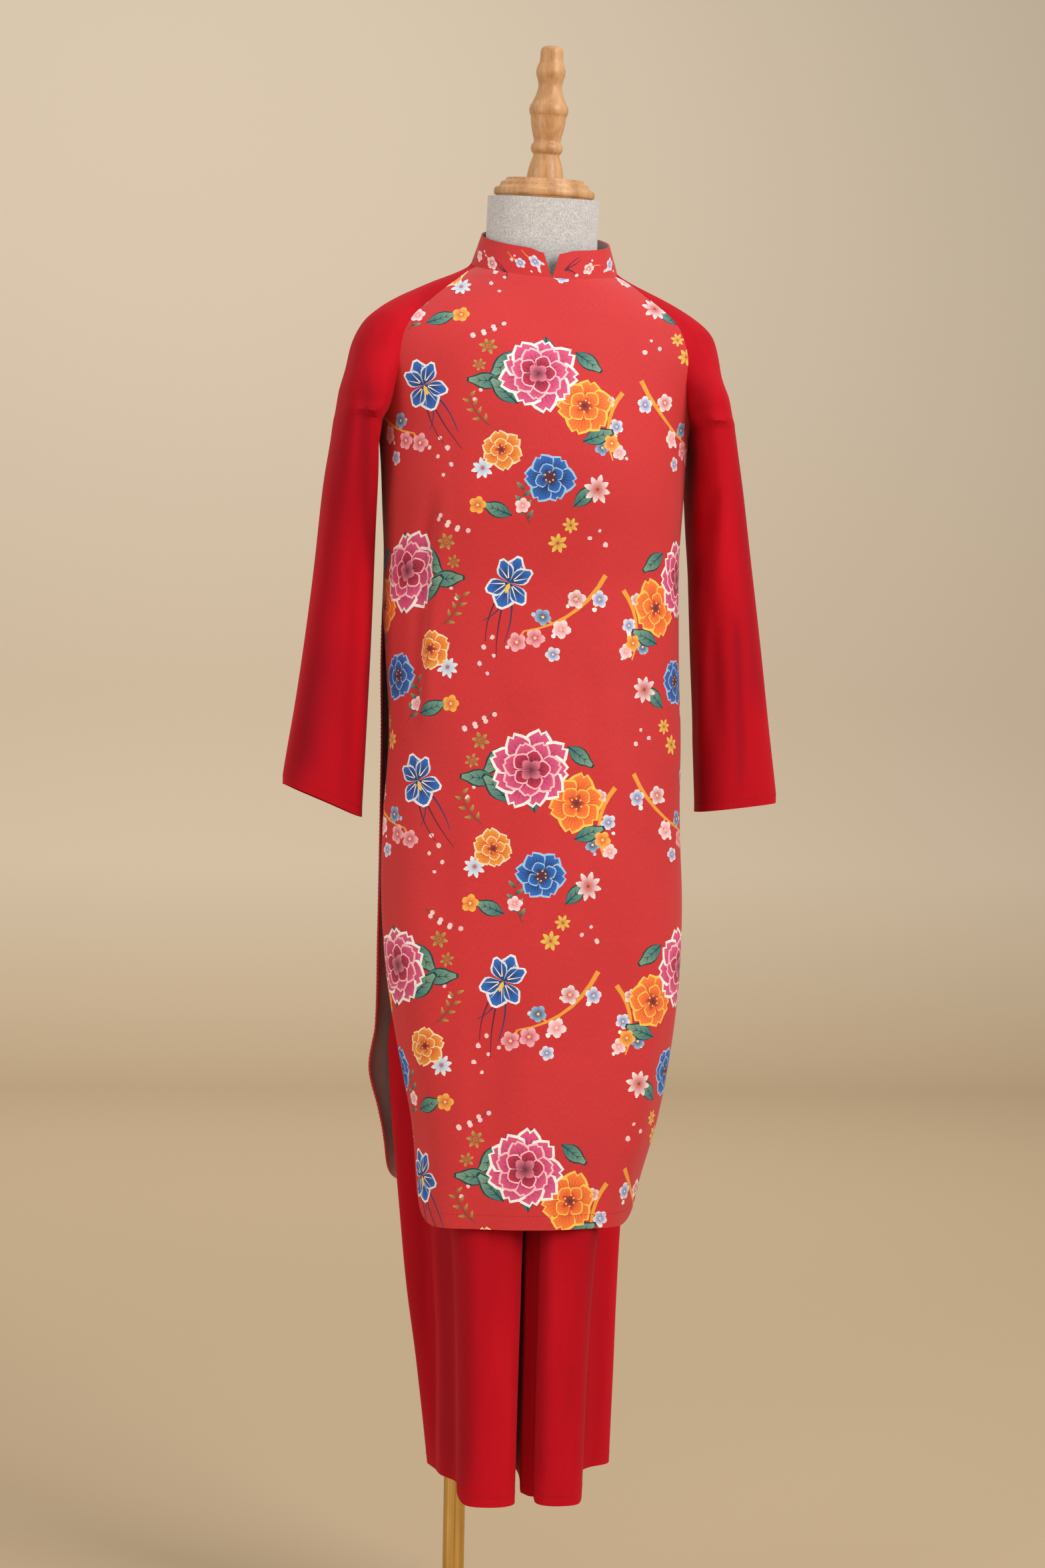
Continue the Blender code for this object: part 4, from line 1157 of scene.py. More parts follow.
    def flag_flower(self, place, size, turn=0.0, deep=NAVY, edge=SKY, mid=BLUE):
        """A side view with three hanging and three standing petals."""
        for lean, long, bend in ((2.6, 1.5, 0.7), (3.1, 1.9, -0.4), (3.5, 1.6, -0.9), (2.9, 1.2, 1.3)):
            self.stem(place, turn + lean, size * long, bend, 2.4, deep if lean < 3 else PLUM)
        for lean, long, wide, tip in ((0.0, 1.0, 0.46, 1.1), (-0.7, 0.9, 0.38, 1.1), (0.75, 0.9, 0.38, 1.1),
                                      (math.pi, 1.0, 0.5, 1.5), (math.pi - 0.95, 0.95, 0.38, 1.4),
                                      (math.pi + 0.9, 0.9, 0.4, 1.4)):
            self.petal(place, turn + lean, size * 0.6 * long, size * wide, edge, WHITE, tip=tip)
            self.petal(place, turn + lean, size * 0.55 * long, size * wide * 0.8, deep, mid, tip=tip)
            for side in (-1, 0, 1):
                end = (size * wide * 0.3 * side, size * 0.5 * long)
                self.stroke(place, turn + lean, (side * 0.4, size * 0.1), end, size * 0.03,
                            WHITE if side else deep)
        self.petal(place, turn + math.pi, size * 0.24, size * 0.1, YELLOW, YELLOW, sides=2)

    def leaf(self, place, turn, length, width=None, inner=PINE, outer=TEAL):
        """A dark-edged leaf with a rib and side veins."""
        width = width or length * 0.5
        self.petal(place, turn, length, width, inner, inner, tip=0.95)
        self.petal(place, turn, length * 0.94, width * 0.84, outer, SAGE, tip=0.95)
        self.stroke(place, turn, (0, 0), (0, length * 0.9), width * 0.09, inner)
        for k, rise in enumerate((0.24, 0.44, 0.62)):
            for side in (-1, 1):
                end = (side * width * (0.34 - 0.05 * k), length * (rise + 0.16))
                self.stroke(place, turn, (0, length * rise), end, width * 0.07, inner)

    def stem(self, place, turn, length, bend=0.3, width=1.5, colour=BROWN):
        """A thin curved stem; returns places along it with the stem's direction there."""
        spots = []
        x, y, heading = place[0], place[1], turn
        for _ in range(8):
            spots.append((x, y, heading))
            x += math.sin(heading) * length * MM / 8
            y -= math.cos(heading) * length * MM / 8
            heading += bend / 8
        left, right = [], []
        for k, (x, y, heading) in enumerate(spots):
            half = width * MM / 2 * (1 - 0.8 * k / len(spots))
            left.append((x - math.cos(heading) * half, y - math.sin(heading) * half))
            right.append((x + math.cos(heading) * half, y + math.sin(heading) * half))
        line = left + [(x, y)] + right[::-1]
        area = sum(a[0] * b[1] - b[0] * a[1] for a, b in zip(line, line[1:] + line[:1]))
        self.shapes.append(Shape(line if area > 0 else line[::-1], place, length * MM, colour, colour))
        return spots

    def sprig(self, place, turn, length, bend=0.5, kind="leaf", inner=PINE, outer=SAGE):
        for k, (x, y, heading) in enumerate(self.stem(place, turn, length, bend)):
            if k == 0:
                continue
            side = 1 if k % 2 else -1
            if kind == "leaf":
                self.petal((x, y), heading + side * 0.9, length * 0.22, length * 0.09, inner, outer, sides=3)
            else:
                self.disc((x + side * 3 * MM, y), 2.6, inner, outer, sides=6)

    def branch(self, place, turn, length, bend, blooms):
        """A golden branch with blossoms and buds; blooms gives each one's place, side, size and colours."""
        spots = self.stem(place, turn, length, bend, width=5.0, colour=GOLD)
        for at, side, size, inner, outer in blooms:
            x, y, heading = spots[at]
            out = heading + side * self.chance.uniform(0.7, 1.1)
            tips = self.stem((x, y), out, size * 2.6, bend=side * -0.7, width=2.4, colour=GOLD)
            for k in (3, 5, 7):
                bud = tips[k]
                self.disc((bud[0] + self.chance.uniform(-3, 3) * MM, bud[1] + self.chance.uniform(-3, 3) * MM),
                          self.chance.uniform(1.6, 2.8), WHITE, outer, sides=6, wobble=0.2)
            reach = size * 1.3 * MM
            spot = (x + math.sin(out) * reach, y - math.cos(out) * reach)
            self.blossom(spot, size, heading, inner, outer)


def stand_collar_print(seed, side):
    """Small blossoms and buds on thin twigs along the stand collar, fewer on its right half."""
    design = Design(seed)
    chance = design.chance
    for k in range(10 if side < 0 else 7):
        across = side * (0.010 + (0.018 if side < 0 else 0.028) * k + chance.uniform(-0.003, 0.003))
        down = 0.015 + chance.uniform(-0.008, 0.008)
        if k % 3 == (2 if side < 0 else 0):
            for lean in (-0.5, 0.1, 0.6):
                design.stem((across, down + 0.01), side * 1.1 + lean, 20, chance.uniform(-1.2, 1.2), 2.0, PLUM)
            continue
        turn = side * 1.3 + chance.uniform(-0.5, 0.5)
        design.stem((across, down), turn, 18, chance.uniform(-1.2, 1.2), 1.7, GOLD)
        inner, outer = chance.choice([(ROSE, WHITE), (STRONG_BLUE, WHITE), (NAVY, SKY), (PINK, WHITE)])
        design.blossom((across, down), chance.uniform(5.5, 7.5), chance.uniform(0, 1), inner, outer)
        for _ in range(3):
            bud = (across + chance.uniform(-0.012, 0.012), down + chance.uniform(-0.009, 0.009))
            design.disc(bud, chance.uniform(1.2, 2.0), WHITE, BLUSH, sides=6, wobble=0.2)
    return design.shapes


REPEAT = 0.392               # the print's repeat down the cloth
COLUMN = 0.158               # and between its columns, each dropped by half a repeat


def posy(design, x, y, mirror):
    """One repeat of the print: a loose posy that falls in a soft S, x and y in metres."""
    m = -1 if mirror else 1

    def at(across, down):
        return (x + m * across * MM, y + down * MM)
    design.branch(at(62, 262), m * -2.6, 118, m * 1.1, [
        (1, -m, 9, STRONG_BLUE, WHITE), (2, m, 10, ROSE, WHITE), (4, -m, 10, PINK, WHITE), (5, m, 9, NAVY, SKY),
        (7, -m, 10, ROSE, BLUSH)])
    design.branch(at(76, 80), m * -2.5, 84, m * -1.3, [
        (1, m, 7, ROSE, WHITE), (3, -m, 8, STRONG_BLUE, WHITE), (5, m, 8, NAVY, SKY), (6, -m, 8, PINK, WHITE)])
    for across, down, size in (
            (-50, 326, 2.4), (-58, 336, 3.0), (-48, 344, 2.2), (-62, 352, 2.6), (-54, 362, 2.0),
            (44, 226, 2.4), (54, 218, 2.0), (60, 232, 2.8), (-72, 92, 2.4), (-66, 82, 2.0)):
        design.disc(at(across, down), size, WHITE, BLUSH, sides=6, wobble=0.25)
    for across, down, turn, length in (
            (-30, 40, -2.4, 40), (-4, 24, 3.0, 36), (26, 40, 2.2, 34), (-44, 74, -1.5, 36), (34, 132, 1.2, 34),
            (-30, 96, -0.8, 38), (-6, 106, -0.1, 34), (-34, 206, -1.2, 32), (26, 196, 0.8, 32)):
        design.leaf(at(across, down), m * turn, length)
    design.sprig(at(-58, 118), m * -0.9, 40, m * 0.8, inner=BROWN, outer=OLIVE)
    design.sprig(at(-16, 214), m * -0.5, 46, m * 0.9, inner=PINE, outer=SAGE)
    design.sprig(at(-46, 6), m * -2.4, 44, m * 0.8, kind="berry", inner=WHITE, outer=BLUSH)
    design.flag_flower(at(-34, 272), 46, m * 0.35, edge=SKY, mid=STRONG_BLUE)
    design.daisy(at(50, 178), 14, 0.2, petals=8, inner=ROSE, outer=WHITE, heart=NAVY)
    design.daisy(at(-64, 160), 11, 0.5, petals=8, inner=SKY, outer=WHITE, heart=BLUE)
    design.daisy(at(12, 232), 10, 0.1, petals=7, inner=OLIVE, outer=YELLOW, heart=BROWN)
    design.daisy(at(24, 214), 8, 0.4, petals=7, inner=OLIVE, outer=YELLOW, heart=BROWN)
    design.daisy(at(-60, 36), 9, 0.7, petals=6, inner=BROWN, outer=OLIVE, heart=PLUM)
    design.daisy(at(-68, 56), 7, 0.2, petals=6, inner=BROWN, outer=OLIVE, heart=PLUM)
    design.blossom(at(-8, 326), 10, 0.4, ROSE, BLUSH)
    design.blossom(at(10, 342), 8, 0.9, STRONG_BLUE, WHITE)
    design.blossom(at(-68, 196), 9, 0.2, DEEP_ORANGE, YELLOW)
    design.cup(at(36, 96), 29, m * 0.3, edge=ORANGE, light=YELLOW)
    design.cup(at(-46, 142), 20, m * 0.9, edge=GOLD, deep=DEEP_ORANGE, light=CREAM)
    design.cup(at(2, 168), 25, m * 0.6, edge=STRONG_BLUE, deep=NAVY, light=SKY)
    design.full_bloom(at(-10, 64), 40, m * 0.2)
    design.blossom(at(64, 132), 9, 0.5, DEEP_ORANGE, YELLOW)
    design.blossom(at(-24, 196), 8, 0.1, PINK, WHITE)


def cloth_print(seed, start, columns=(-2, -1, 0, 1, 2), rows=range(-1, 4), shift=0.0):
    """The print laid over a piece: columns of posies, every other one dropped and turned over."""
    design = Design(seed)
    for column in columns:
        for row in rows:
            drop = REPEAT * (row + 0.5 * (column % 2))
            posy(design, shift + column * COLUMN, start + drop, column % 2 == 1)
    return design.shapes


FRONT_CREASES = [
    Crease(-1, 6.5, 6, [(-47, 1200), (-50, 1150), (-56, 1060), (-62, 940)]),
    Crease(-1, -3.0, 7, [(-36, 1190), (-39, 1120), (-45, 1040), (-50, 940)]),
    Crease(-1, 2.0, 12, [(30, 1010), (26, 860), (24, 700), (22, 480)]),
    Crease(-1, -1.8, 13, [(62, 1040), (60, 880), (56, 700), (52, 480)]),
    Crease(-1, 2.2, 12, [(110, 1020), (112, 860), (108, 700), (100, 500)]),
    Crease(-1, -2.0, 11, [(-10, 960), (-12, 800), (-10, 640), (-6, 480)]),
    Crease(-1, 1.4, 9, [(168, 1250), (172, 1190), (176, 1120)]),
    Crease(-1, 1.2, 9, [(-26, 1260), (-30, 1210), (-34, 1160)]),
]
BACK_CREASES = [
    Crease(1, 3.0, 10, [(10, 1180), (4, 1040), (-4, 880), (-8, 700), (-6, 520)]),
    Crease(1, -2.2, 12, [(-30, 1120), (-34, 1000), (-36, 860), (-36, 740)]),
    Crease(1, 2.6, 11, [(128, 1160), (132, 1000), (134, 820), (130, 620), (126, 520)]),
    Crease(1, -2.0, 12, [(100, 1080), (98, 980), (97, 860), (97, 740)]),
    Crease(1, 1.6, 9, [(160, 1300), (154, 1250), (150, 1200)]),
    Crease(1, 1.6, 9, [(-24, 1300), (-18, 1250), (-14, 1200)]),
]


def front_cut():
    halves = spread(68)
    across = [-q for q in reversed(halves)] + halves[1:]
    rows = [[yoke_point(-1 if q < 0 else 1, abs(q), v) for q in across] for v in spread(64)]
    rows += [[chest_point(q, z, True) for q in across] for z in spread(60, UNDERARM, SLIT_TOP)[1:]]
    rows += [[free_panel_point(FRONT_PANEL, FRONT_FOLDS, FRONT_HEM, q, w) for q in across]
             for w in spread(200)[1:]]
    return Cut(rows, 68, FRONT_CREASES, wave=0.5 * MM, seed=3)


def back_cut(side):
    """Half of the back; its columns run from left to right as seen from behind."""
    shares = spread(66)
    rows = [[yoke_point(side, 2 + k, v) for k in shares] for v in spread(64)]
    rows += [[chest_point(side * (1 - k), z, False) for k in shares]
             for z in spread(60, UNDERARM, SLIT_TOP)[1:]]
    rows += [[free_panel_point(BACK_PANEL, BACK_FOLDS, BACK_HEM, side * (1 - k), w) for k in shares]
             for w in spread(192)[1:]]
    if side < 0:
        rows = [row[::-1] for row in rows]
    return Cut(rows, 66 if side > 0 else 0, BACK_CREASES, wave=0.5 * MM, seed=5)


def collar_cut(side):
    """Half of the stand collar, from the notch round to the centre back."""
    rows = []
    for rise in reversed(spread(10)):
        row = []
        for k in spread(110):
            q = 3 * k
            around = garment_angles(q, NECKLINE)[0]
            start = NOTCH_ANGLE * rise
            turn = start + around * (180 - start) / 180
            width = NECK_HALF_WIDTH + (COLLAR_TOP_HALF_WIDTH - NECK_HALF_WIDTH) * rise
            depth = NECK_HALF_DEPTH + (COLLAR_TOP_HALF_DEPTH - NECK_HALF_DEPTH) * rise
            point = ring_point(side * turn, width, depth, NECK_Y + (COLLAR_TOP_Y - NECK_Y) * rise, NECKLINE)
            point.z += COLLAR_HEIGHT * rise - 0.004 * rise * math.exp(-(around / 9) ** 2)
            row.append(point if rise else yoke_point(side, q, 0))
        rows.append(row if side > 0 else row[::-1])
    return Cut(rows, 0 if side > 0 else 110, by_height=False)


# Finishes

def finish_named(name, colour, roughness, specular=0.5, metallic=0.0):
    material = bpy.data.materials.new(name)
    material.use_nodes = True
    shader = material.node_tree.nodes["Principled BSDF"]
    shader.inputs["Base Color"].default_value = (*colour, 1)
    shader.inputs["Roughness"].default_value = roughness
    shader.inputs["Specular IOR Level"].default_value = specular
    shader.inputs["Metallic"].default_value = metallic
    return material, material.node_tree.nodes, material.node_tree.links, shader


def texture(nodes, links, kind, source, scale, stretch=(1, 1, 1), **settings):
    """A noise, wave or cell texture on a stretched copy of the source coordinates."""
    mapping = nodes.new("ShaderNodeMapping")
    mapping.inputs["Scale"].default_value = stretch
    links.new(source, mapping.inputs["Vector"])
    made = nodes.new(kind)
    links.new(mapping.outputs["Vector"], made.inputs["Vector"])
    made.inputs["Scale"].default_value = scale
    for key, value in settings.items():
        if hasattr(made, key):
            setattr(made, key, value)
        else:
            made.inputs[key.replace("_", " ").title()].default_value = value
    return made


def ramp(nodes, links, source, stops):
    """Colours over a 0 to 1 value."""
    made = nodes.new("ShaderNodeValToRGB")
    line = made.color_ramp
    for k, (place, colour) in enumerate(stops):
        stop = line.elements[k] if k < 2 else line.elements.new(place)
        stop.position = place
        stop.color = (*colour, 1)
    links.new(source, made.inputs["Fac"])
    return made.outputs["Color"]


def blend(nodes, links, share, a, b, mode="MIX"):
    made = nodes.new("ShaderNodeMix")
    made.data_type = "RGBA"
    made.blend_type = mode
    for socket, value in ((made.inputs["Factor"], share), (made.inputs[6], a), (made.inputs[7], b)):
        if hasattr(value, "is_linked") or hasattr(value, "links"):
            links.new(value, socket)
        elif isinstance(value, tuple):
            socket.default_value = (*value, 1)
        else:
            socket.default_value = value
    return made.outputs[2]


def bump(nodes, links, shader, source, depth, strength=1.0, under=None):
    made = nodes.new("ShaderNodeBump")
    made.inputs["Distance"].default_value = depth
    made.inputs["Strength"].default_value = strength
    links.new(source, made.inputs["Height"])
    if under is not None:
        links.new(under, made.inputs["Normal"])
    links.new(made.outputs["Normal"], shader.inputs["Normal"])
    return made.outputs["Normal"]


def object_places(nodes):
    return nodes.new("ShaderNodeTexCoord").outputs["Object"]


def printed_look():
    """Matt crepe: the print in the cloth's own colours, a fine weave and faint unevenness."""
    material, nodes, links, shader = finish_named("printed_cloth", GROUND, 0.72, 0.28)
    layer = nodes.new("ShaderNodeAttribute")
    layer.attribute_name = "print"
    flat = nodes.new("ShaderNodeUVMap")
    flat.uv_map = "flat"
    uneven = texture(nodes, links, "ShaderNodeTexNoise", object_places(nodes), 9.0, detail=3.0)
    tone = ramp(nodes, links, uneven.outputs["Fac"], [(0.3, (0.90, 0.88, 0.88)), (0.7, (1.0, 1.0, 1.0))])
    thread = texture(nodes, links, "ShaderNodeTexNoise", flat.outputs["UV"], 900.0, (1, 0.25, 1), detail=1.0)
    fleck = ramp(nodes, links, thread.outputs["Fac"], [(0.35, (0.93, 0.93, 0.93)), (0.65, (1.03, 1.03, 1.03))])
    colour = blend(nodes, links, 1.0, layer.outputs["Color"], tone, "MULTIPLY")
    links.new(blend(nodes, links, 1.0, colour, fleck, "MULTIPLY"), shader.inputs["Base Color"])
    warp = texture(nodes, links, "ShaderNodeTexWave", flat.outputs["UV"], 330.0)
    weft = texture(nodes, links, "ShaderNodeTexWave", flat.outputs["UV"], 330.0, bands_direction="Y")
    first = bump(nodes, links, shader, warp.outputs["Fac"], 0.00012, 0.5)
    second = bump(nodes, links, shader, weft.outputs["Fac"], 0.00012, 0.5, under=first)
    bump(nodes, links, shader, uneven.outputs["Fac"], 0.0015, 0.35, under=second)
    shader.inputs["Sheen Weight"].default_value = 0.12
    shader.inputs["Sheen Roughness"].default_value = 0.5
    return material


def velvet_look():
    """Deep red pile: bright where it stands up, painted shade in maroon along the bands that follow its creases
    and recesses, pale at grazing angles.
    """
    material, nodes, links, shader = finish_named("velvet", (0.42, 0.008, 0.018), 0.85, 0.10)
    places = object_places(nodes)
    streak = texture(nodes, links, "ShaderNodeTexNoise", places, 20.0, (1, 1, 0.14), detail=3.0)
    patch = texture(nodes, links, "ShaderNodeTexNoise", places, 6.0, (1, 1, 0.5), detail=2.0)
    pile = texture(nodes, links, "ShaderNodeTexNoise", places, 1400.0, detail=1.0)
    layer = nodes.new("ShaderNodeAttribute")
    layer.attribute_name = "painted_shade"
    bright = ramp(nodes, links, streak.outputs["Fac"], [
        (0.30, linear(158, 8, 22)), (0.52, linear(177, 10, 26)), (0.74, linear(190, 15, 31))])
    patchy = ramp(nodes, links, patch.outputs["Fac"], [(0.35, (0.90, 0.86, 0.87)), (0.65, (1.03, 1.03, 1.03))])
    colour = blend(nodes, links, 1.0, bright, patchy, "MULTIPLY")
    # Painted shade: maroon along the bands, where shade falls in the troughs and recesses
    colour = blend(nodes, links, layer.outputs["Fac"], colour, linear(142, 9, 25))
    fleck = ramp(nodes, links, pile.outputs["Fac"], [(0.3, (0.90, 0.90, 0.90)), (0.7, (1.06, 1.06, 1.06))])
    links.new(blend(nodes, links, 1.0, colour, fleck, "MULTIPLY"), shader.inputs["Base Color"])
    first = bump(nodes, links, shader, pile.outputs["Fac"], 0.0003, 0.5)
    bump(nodes, links, shader, streak.outputs["Fac"], 0.0008, 0.2, under=first)
    shader.inputs["Sheen Weight"].default_value = 0.34
    shader.inputs["Sheen Roughness"].default_value = 0.34
    shader.inputs["Sheen Tint"].default_value = (*linear(226, 92, 104), 1)
    return material


def plush_look():
    """Short pale plush with a soft speckle."""
    material, nodes, links, shader = finish_named("plush", linear(192, 190, 188), 0.92, 0.15)
    places = object_places(nodes)
    tuft = texture(nodes, links, "ShaderNodeTexNoise", places, 900.0, (1, 1, 0.6), detail=2.0)
    patch = texture(nodes, links, "ShaderNodeTexNoise", places, 130.0, detail=2.0)
    speckle = ramp(nodes, links, tuft.outputs["Fac"], [
        (0.36, linear(170, 168, 167)), (0.52, linear(190, 188, 187)), (0.68, linear(206, 204, 202))])
    cloud = ramp(nodes, links, patch.outputs["Fac"], [(0.3, (0.92, 0.92, 0.92)), (0.7, (1.02, 1.02, 1.02))])
    links.new(blend(nodes, links, 1.0, speckle, cloud, "MULTIPLY"), shader.inputs["Base Color"])
    first = bump(nodes, links, shader, tuft.outputs["Fac"], 0.0006, 0.6)
    bump(nodes, links, shader, patch.outputs["Fac"], 0.0010, 0.3, under=first)
    shader.inputs["Sheen Weight"].default_value = 0.4
    shader.inputs["Sheen Roughness"].default_value = 0.5
    return material


def beech_look():
    """Turned beech under satin lacquer: long grain, short flecks and darker growth bands."""
    material, nodes, links, shader = finish_named("beech", linear(176, 122, 76), 0.5, 0.35)
    places = object_places(nodes)
    rings = texture(nodes, links, "ShaderNodeTexWave", places, 12.0, (1, 0.6, 0.08), distortion=4.0,
                    detail=2.0, detail_scale=1.2)
    grain = texture(nodes, links, "ShaderNodeTexNoise", places, 300.0, (1, 1, 0.06), detail=3.0)
    flecks = texture(nodes, links, "ShaderNodeTexNoise", places, 700.0, (1, 1, 0.2), detail=1.0)
    band = ramp(nodes, links, rings.outputs["Fac"], [
        (0.0, linear(196, 150, 104)), (0.55, linear(188, 141, 95)), (1.0, linear(176, 128, 83))])
    line = ramp(nodes, links, grain.outputs["Fac"], [(0.38, (0.86, 0.83, 0.79)), (0.6, (1.03, 1.02, 1.01))])
    fleck = ramp(nodes, links, flecks.outputs["Fac"], [(0.30, (0.80, 0.73, 0.66)), (0.42, (1.0, 1.0, 1.0))])
    colour = blend(nodes, links, 1.0, band, line, "MULTIPLY")
    links.new(blend(nodes, links, 0.7, colour, fleck, "MULTIPLY"), shader.inputs["Base Color"])
    bump(nodes, links, shader, grain.outputs["Fac"], 0.0003, 0.5)
    shader.inputs["Coat Weight"].default_value = 0.25
    shader.inputs["Coat Roughness"].default_value = 0.3
    return material


def brass_look():
    """Brushed gold-coloured metal, with fine lines along it and a few dull patches."""
    material, nodes, links, shader = finish_named("brass", linear(214, 172, 96), 0.34, 0.5, 1.0)
    places = object_places(nodes)
    lines = texture(nodes, links, "ShaderNodeTexNoise", places, 500.0, (1, 1, 0.012), detail=2.0)
    dull = texture(nodes, links, "ShaderNodeTexNoise", places, 16.0, detail=3.0)
    tone = ramp(nodes, links, lines.outputs["Fac"], [(0.3, linear(196, 150, 78)), (0.7, linear(226, 188, 116))])
    links.new(tone, shader.inputs["Base Color"])
    rough = ramp(nodes, links, dull.outputs["Fac"], [(0.35, (0.26, 0.26, 0.26)), (0.7, (0.44, 0.44, 0.44))])
    links.new(rough, shader.inputs["Roughness"])
    bump(nodes, links, shader, lines.outputs["Fac"], 0.0002, 0.4)
    return material


def thread_look(name, colour):
    material, nodes, links, shader = finish_named(name, colour, 0.6, 0.3)
    twist = texture(nodes, links, "ShaderNodeTexWave", object_places(nodes), 1800.0, (1, 1, 0.6))
    tone = ramp(nodes, links, twist.outputs["Fac"], [
        (0.0, tuple(c * 0.7 for c in colour)), (1.0, tuple(c * 1.15 for c in colour))])
    links.new(tone, shader.inputs["Base Color"])
    bump(nodes, links, shader, twist.outputs["Fac"], 0.0001, 0.5)
    return material


PRINT = printed_look()
VELVET = velvet_look()
PLUSH = plush_look()
BEECH = beech_look()
BRASS = brass_look()
VELVET_THREAD = thread_look("velvet_thread", linear(148, 14, 28))
PRINT_THREAD = thread_look("print_thread", linear(176, 40, 44))


# Cloth pieces

SLIT_ROW = 128               # the cuts' row just under the slits' tops

for side, name in ((-1, "left"), (1, "right")):
    sleeve, *sewn = velvet_piece(f"sleeve_{name}_velvet", fine_sleeve(side), f"sleeve_{name}",
                                 SLEEVE_CREASES[side], SLEEVE_SHADE_BANDS[side], 0.6 * MM, 11 + side, cuff_line(side))
    leg, *sewn = velvet_piece(f"leg_{name}_velvet", fine_leg(side), f"leg_{name}",
                              LEG_CREASES[side], LEG_SHADE_BANDS[side], 0.6 * MM, 21 + side, trouser_hem_line(side))
band, = velvet_piece("waistband_velvet", fine_waistband(), "waistband", [], [], 0.0, 31)

cut = front_cut()
front = printed_piece("front_printed", cut, cloth_print(41, 0.05), "front_panel")
sewn = stitched("front_printed_stitches", *hem_line(cut, SLIT_ROW, (-1, 1)), PRINT_THREAD, "printed_cloth")
for side, name in ((-1, "left"), (1, "right")):
    cut = back_cut(side)
    back = printed_piece(f"back_{name}_printed", cut, cloth_print(43, -0.1, shift=0.03), f"back_panel_{name}")
    sewn = stitched(f"back_{name}_printed_stitches", *hem_line(cut, SLIT_ROW, (-side,)), PRINT_THREAD,
                    "printed_cloth")
    stand_collar = printed_piece(f"collar_{name}_printed", collar_cut(side),
                                 stand_collar_print(47 + side, side), f"collar_{name}", step=3)


# The form: its plush torso, turned wood, pole and base

def round_form():
    """The torso and neck as one smooth closed skin."""
    levels = []
    for low, high in zip(TORSO, TORSO[1:]):
        count = max(1, round((high.z - low.z) / 5))
        levels += [low.z + (high.z - low.z) * k / count for k in range(count)]
    levels.append(TORSO[-1].z)
    sides = 96
    rings = [[torso_point(z * MM, 360 * k / sides) for k in range(sides)] for z in levels]
    points = [tuple(point) for ring in rings for point in ring]
    faces = []
    for level in range(len(rings) - 1):
        for k in range(sides):
            a, b = level * sides + k, level * sides + (k + 1) % sides
            faces.append([a, b, b + sides, a + sides])
    faces.append(list(range(sides))[::-1])
    faces.append([(len(rings) - 1) * sides + k for k in range(sides)])
    mesh = bpy.data.meshes.new("torso_plush")
    mesh.from_pydata(points, [], faces)
    mesh.materials.append(PLUSH)
    mesh.shade_smooth()
    mesh.set_sharp_from_angle(angle=math.radians(50))
    piece = bpy.data.objects.new("torso_plush", mesh)
    bpy.context.collection.objects.link(piece)
    return piece


torso = round_form()
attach(torso, "root")
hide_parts("form_torso")


def rounder(profile, times):
    """The profile with its corners cut, so beads and coves turn softly."""
    line = [(turn.z, turn.radius) for turn in profile]
    for _ in range(times):
        cut = [line[0]]
        for (z0, r0), (z1, r1) in zip(line, line[1:]):
            cut += [(z0 * near + z1 * (1 - near), r0 * near + r1 * (1 - near)) for near in (0.75, 0.25)]
        line = cut + [line[-1]]
    return line


def turn_piece(name, profile, sides, material, place=None, soften=2):
    """A lathe piece: a disc drawn up ring by ring along its profile, bottom to top."""
    line = rounder([turn for turn in profile if turn.radius > 0], soften)
    bpy.ops.object.select_all(action="DESELECT")
    bpy.ops.mesh.primitive_circle_add(vertices=sides, radius=line[0][1] * MM, fill_type="NGON",
                                      location=(0, 0, line[0][0] * MM))
    piece = bpy.context.active_object
    piece.name = name
    bpy.ops.object.mode_set(mode="EDIT")
    bpy.ops.mesh.select_all(action="SELECT")
    for (z0, r0), (z1, r1) in zip(line, line[1:]):
        bpy.ops.mesh.extrude_region_move(TRANSFORM_OT_translate={"value": (0, 0, (z1 - z0) * MM)})
        bpy.ops.transform.resize(value=(r1 / r0, r1 / r0, 1), center_override=(0, 0, z1 * MM))
    bpy.ops.mesh.select_all(action="SELECT")
    bpy.ops.mesh.normals_make_consistent(inside=False)
    bpy.ops.object.mode_set(mode="OBJECT")
    if place is not None:
        piece.matrix_world = place @ piece.matrix_world
    bpy.ops.object.transform_apply(location=True, rotation=True, scale=True)
    bpy.ops.object.shade_smooth_by_angle(angle=math.radians(38))
    piece.data.materials.append(material)
    return piece


def neck_seat():
    """Where the cap sits: the tilted top of the neck."""
    lean = NECK_TOP - NECK_START
    across = CENTRE_X + TORSO[-1].shift * MM + lean * math.tan(NECK_SIDE_LEAN)
    turn = Matrix.Rotation(NECK_LEAN, 4, "X") @ Matrix.Rotation(NECK_SIDE_LEAN, 4, "Y")
    return Matrix.Translation((across, -lean * math.tan(NECK_LEAN), NECK_TOP)) @ turn \
        @ Matrix.Translation((0, 0, TOUCH - CAP[0].z * MM))


for name, node, profile in (("neck_cap_turned", "neck_cap", CAP), ("finial_turned", "finial", FINIAL)):
    piece = turn_piece(name, profile, 72, BEECH, neck_seat(), soften=1 if node == "neck_cap" else 2)
    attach(piece, "root")
    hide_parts(node)

for node, material in (("pole", BRASS), ("base", BRASS)):
    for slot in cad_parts[node].material_slots:
        slot.material = material


# Floor, backdrop, light and camera

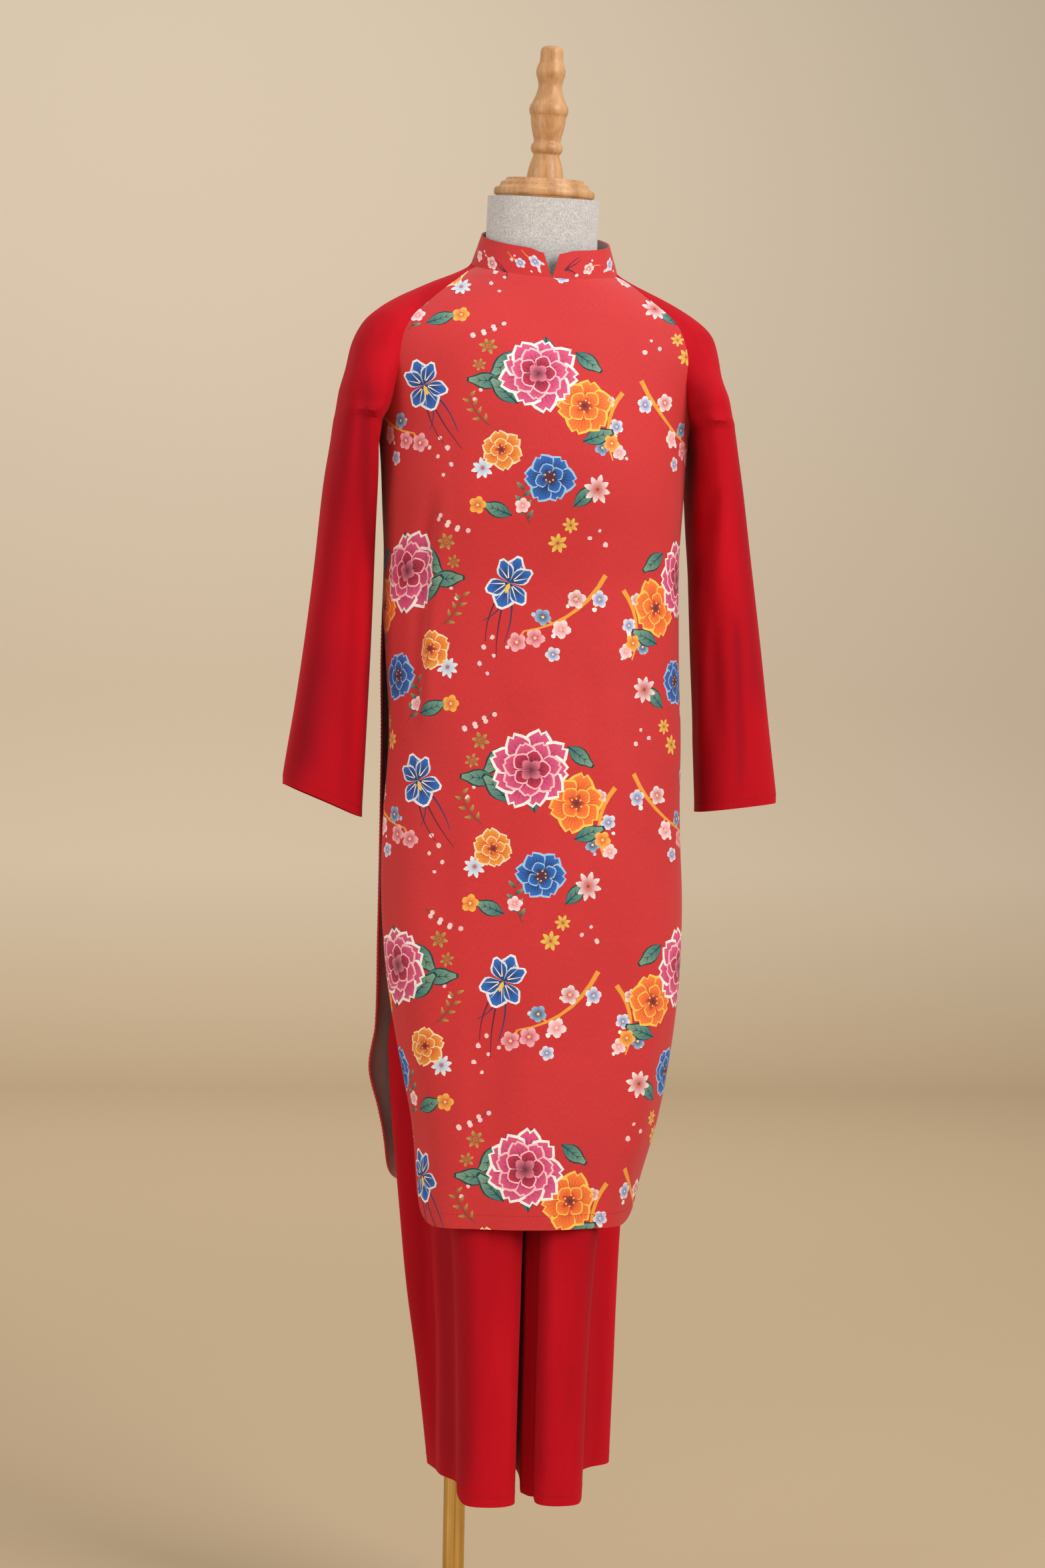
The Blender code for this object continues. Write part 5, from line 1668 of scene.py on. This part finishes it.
def plain_stage():
    """A pale floor that rises into a backdrop far behind; its paint is darker towards the floor as painted
    shade.
    """
    line = [(0.0, -7.0), (0.0, 5.6)]
    line += [(1.2 - 1.2 * math.cos(a), 5.6 + 1.2 * math.sin(a)) for a in np.linspace(0, math.pi / 2, 14)[1:]]
    line += [(8.0, 6.8)]
    points, faces = [], []
    for z, y in line:
        points += [(-9, y, z), (9, y, z)]
    for k in range(len(line) - 1):
        faces.append([2 * k, 2 * k + 1, 2 * k + 3, 2 * k + 2])
    mesh = bpy.data.meshes.new("studio")
    mesh.from_pydata(points, [], faces)
    mesh.shade_smooth()
    material, nodes, links, shader = finish_named("studio_paint", linear(205, 190, 168), 0.9, 0.1)
    height = nodes.new("ShaderNodeSeparateXYZ")
    mapping = nodes.new("ShaderNodeMapping")
    mapping.inputs["Scale"].default_value = (1, 1, 0.4)
    links.new(object_places(nodes), mapping.inputs["Vector"])
    links.new(mapping.outputs["Vector"], height.inputs["Vector"])
    # Painted shade: the floor and the foot of the cove darker, the wall above lighter
    tone = ramp(nodes, links, height.outputs["Z"], [
        (0.0, linear(190, 168, 138)), (0.25, linear(209, 193, 170)), (0.9, linear(207, 194, 175))])
    links.new(tone, shader.inputs["Base Color"])
    mesh.materials.append(material)
    item = bpy.data.objects.new("studio", mesh)
    bpy.context.collection.objects.link(item)


def area_light(name, place, target, size, power, colour=(1.0, 0.98, 0.95)):
    light = bpy.data.lights.new(name, "AREA")
    light.shape = "RECTANGLE"
    light.size, light.size_y = size
    light.energy = power
    light.color = colour
    item = bpy.data.objects.new(name, light)
    place, target = Vector(place), Vector(target)
    item.location = place
    item.rotation_euler = (target - place).to_track_quat("-Z", "Y").to_euler()
    bpy.context.collection.objects.link(item)


plain_stage()
area_light("window", (2.1, -2.5, 2.5), (0.05, 0, 1.0), (1.6, 2.2), 104)
area_light("bounce", (-2.8, -1.9, 1.5), (0.05, 0, 1.0), (1.8, 2.2), 48, (1.0, 0.97, 0.93))
area_light("overhead", (0.4, -0.4, 3.6), (0.05, 0, 1.0), (2.6, 2.0), 24)
area_light("wall_wash", (-0.8, 3.4, 4.2), (-0.4, 6.8, 0.6), (4.0, 1.0), 66)
area_light("wall_foot", (0.5, 3.2, 3.9), (0.6, 5.6, 0.0), (3.0, 1.0), 36)

world = bpy.data.worlds.new("studio_air")
world.use_nodes = True
world.node_tree.nodes["Background"].inputs["Color"].default_value = (0.92, 0.90, 0.87, 1)
world.node_tree.nodes["Background"].inputs["Strength"].default_value = 0.55
bpy.context.scene.world = world
bpy.context.scene.view_settings.view_transform = "Standard"

CAMERA_DISTANCE = 3.0
CAMERA_TURN = math.radians(-7)
CAMERA_AIM = Vector((0.0572, 0, 0.90))
CAMERA_ROLL = math.radians(1.0)


def photo_camera():
    data = bpy.data.cameras.new("photo_camera")
    data.lens = 67.5
    data.sensor_width = 36
    item = bpy.data.objects.new("photo_camera", data)
    bpy.context.collection.objects.link(item)
    back = Vector((math.sin(CAMERA_TURN), -math.cos(CAMERA_TURN), 0)) * CAMERA_DISTANCE
    look = (-back).to_track_quat("-Z", "Y").to_matrix().to_4x4()
    item.matrix_world = Matrix.Translation(CAMERA_AIM + back) @ look @ Matrix.Rotation(CAMERA_ROLL, 4, "Z")
    bpy.context.scene.camera = item


photo_camera()
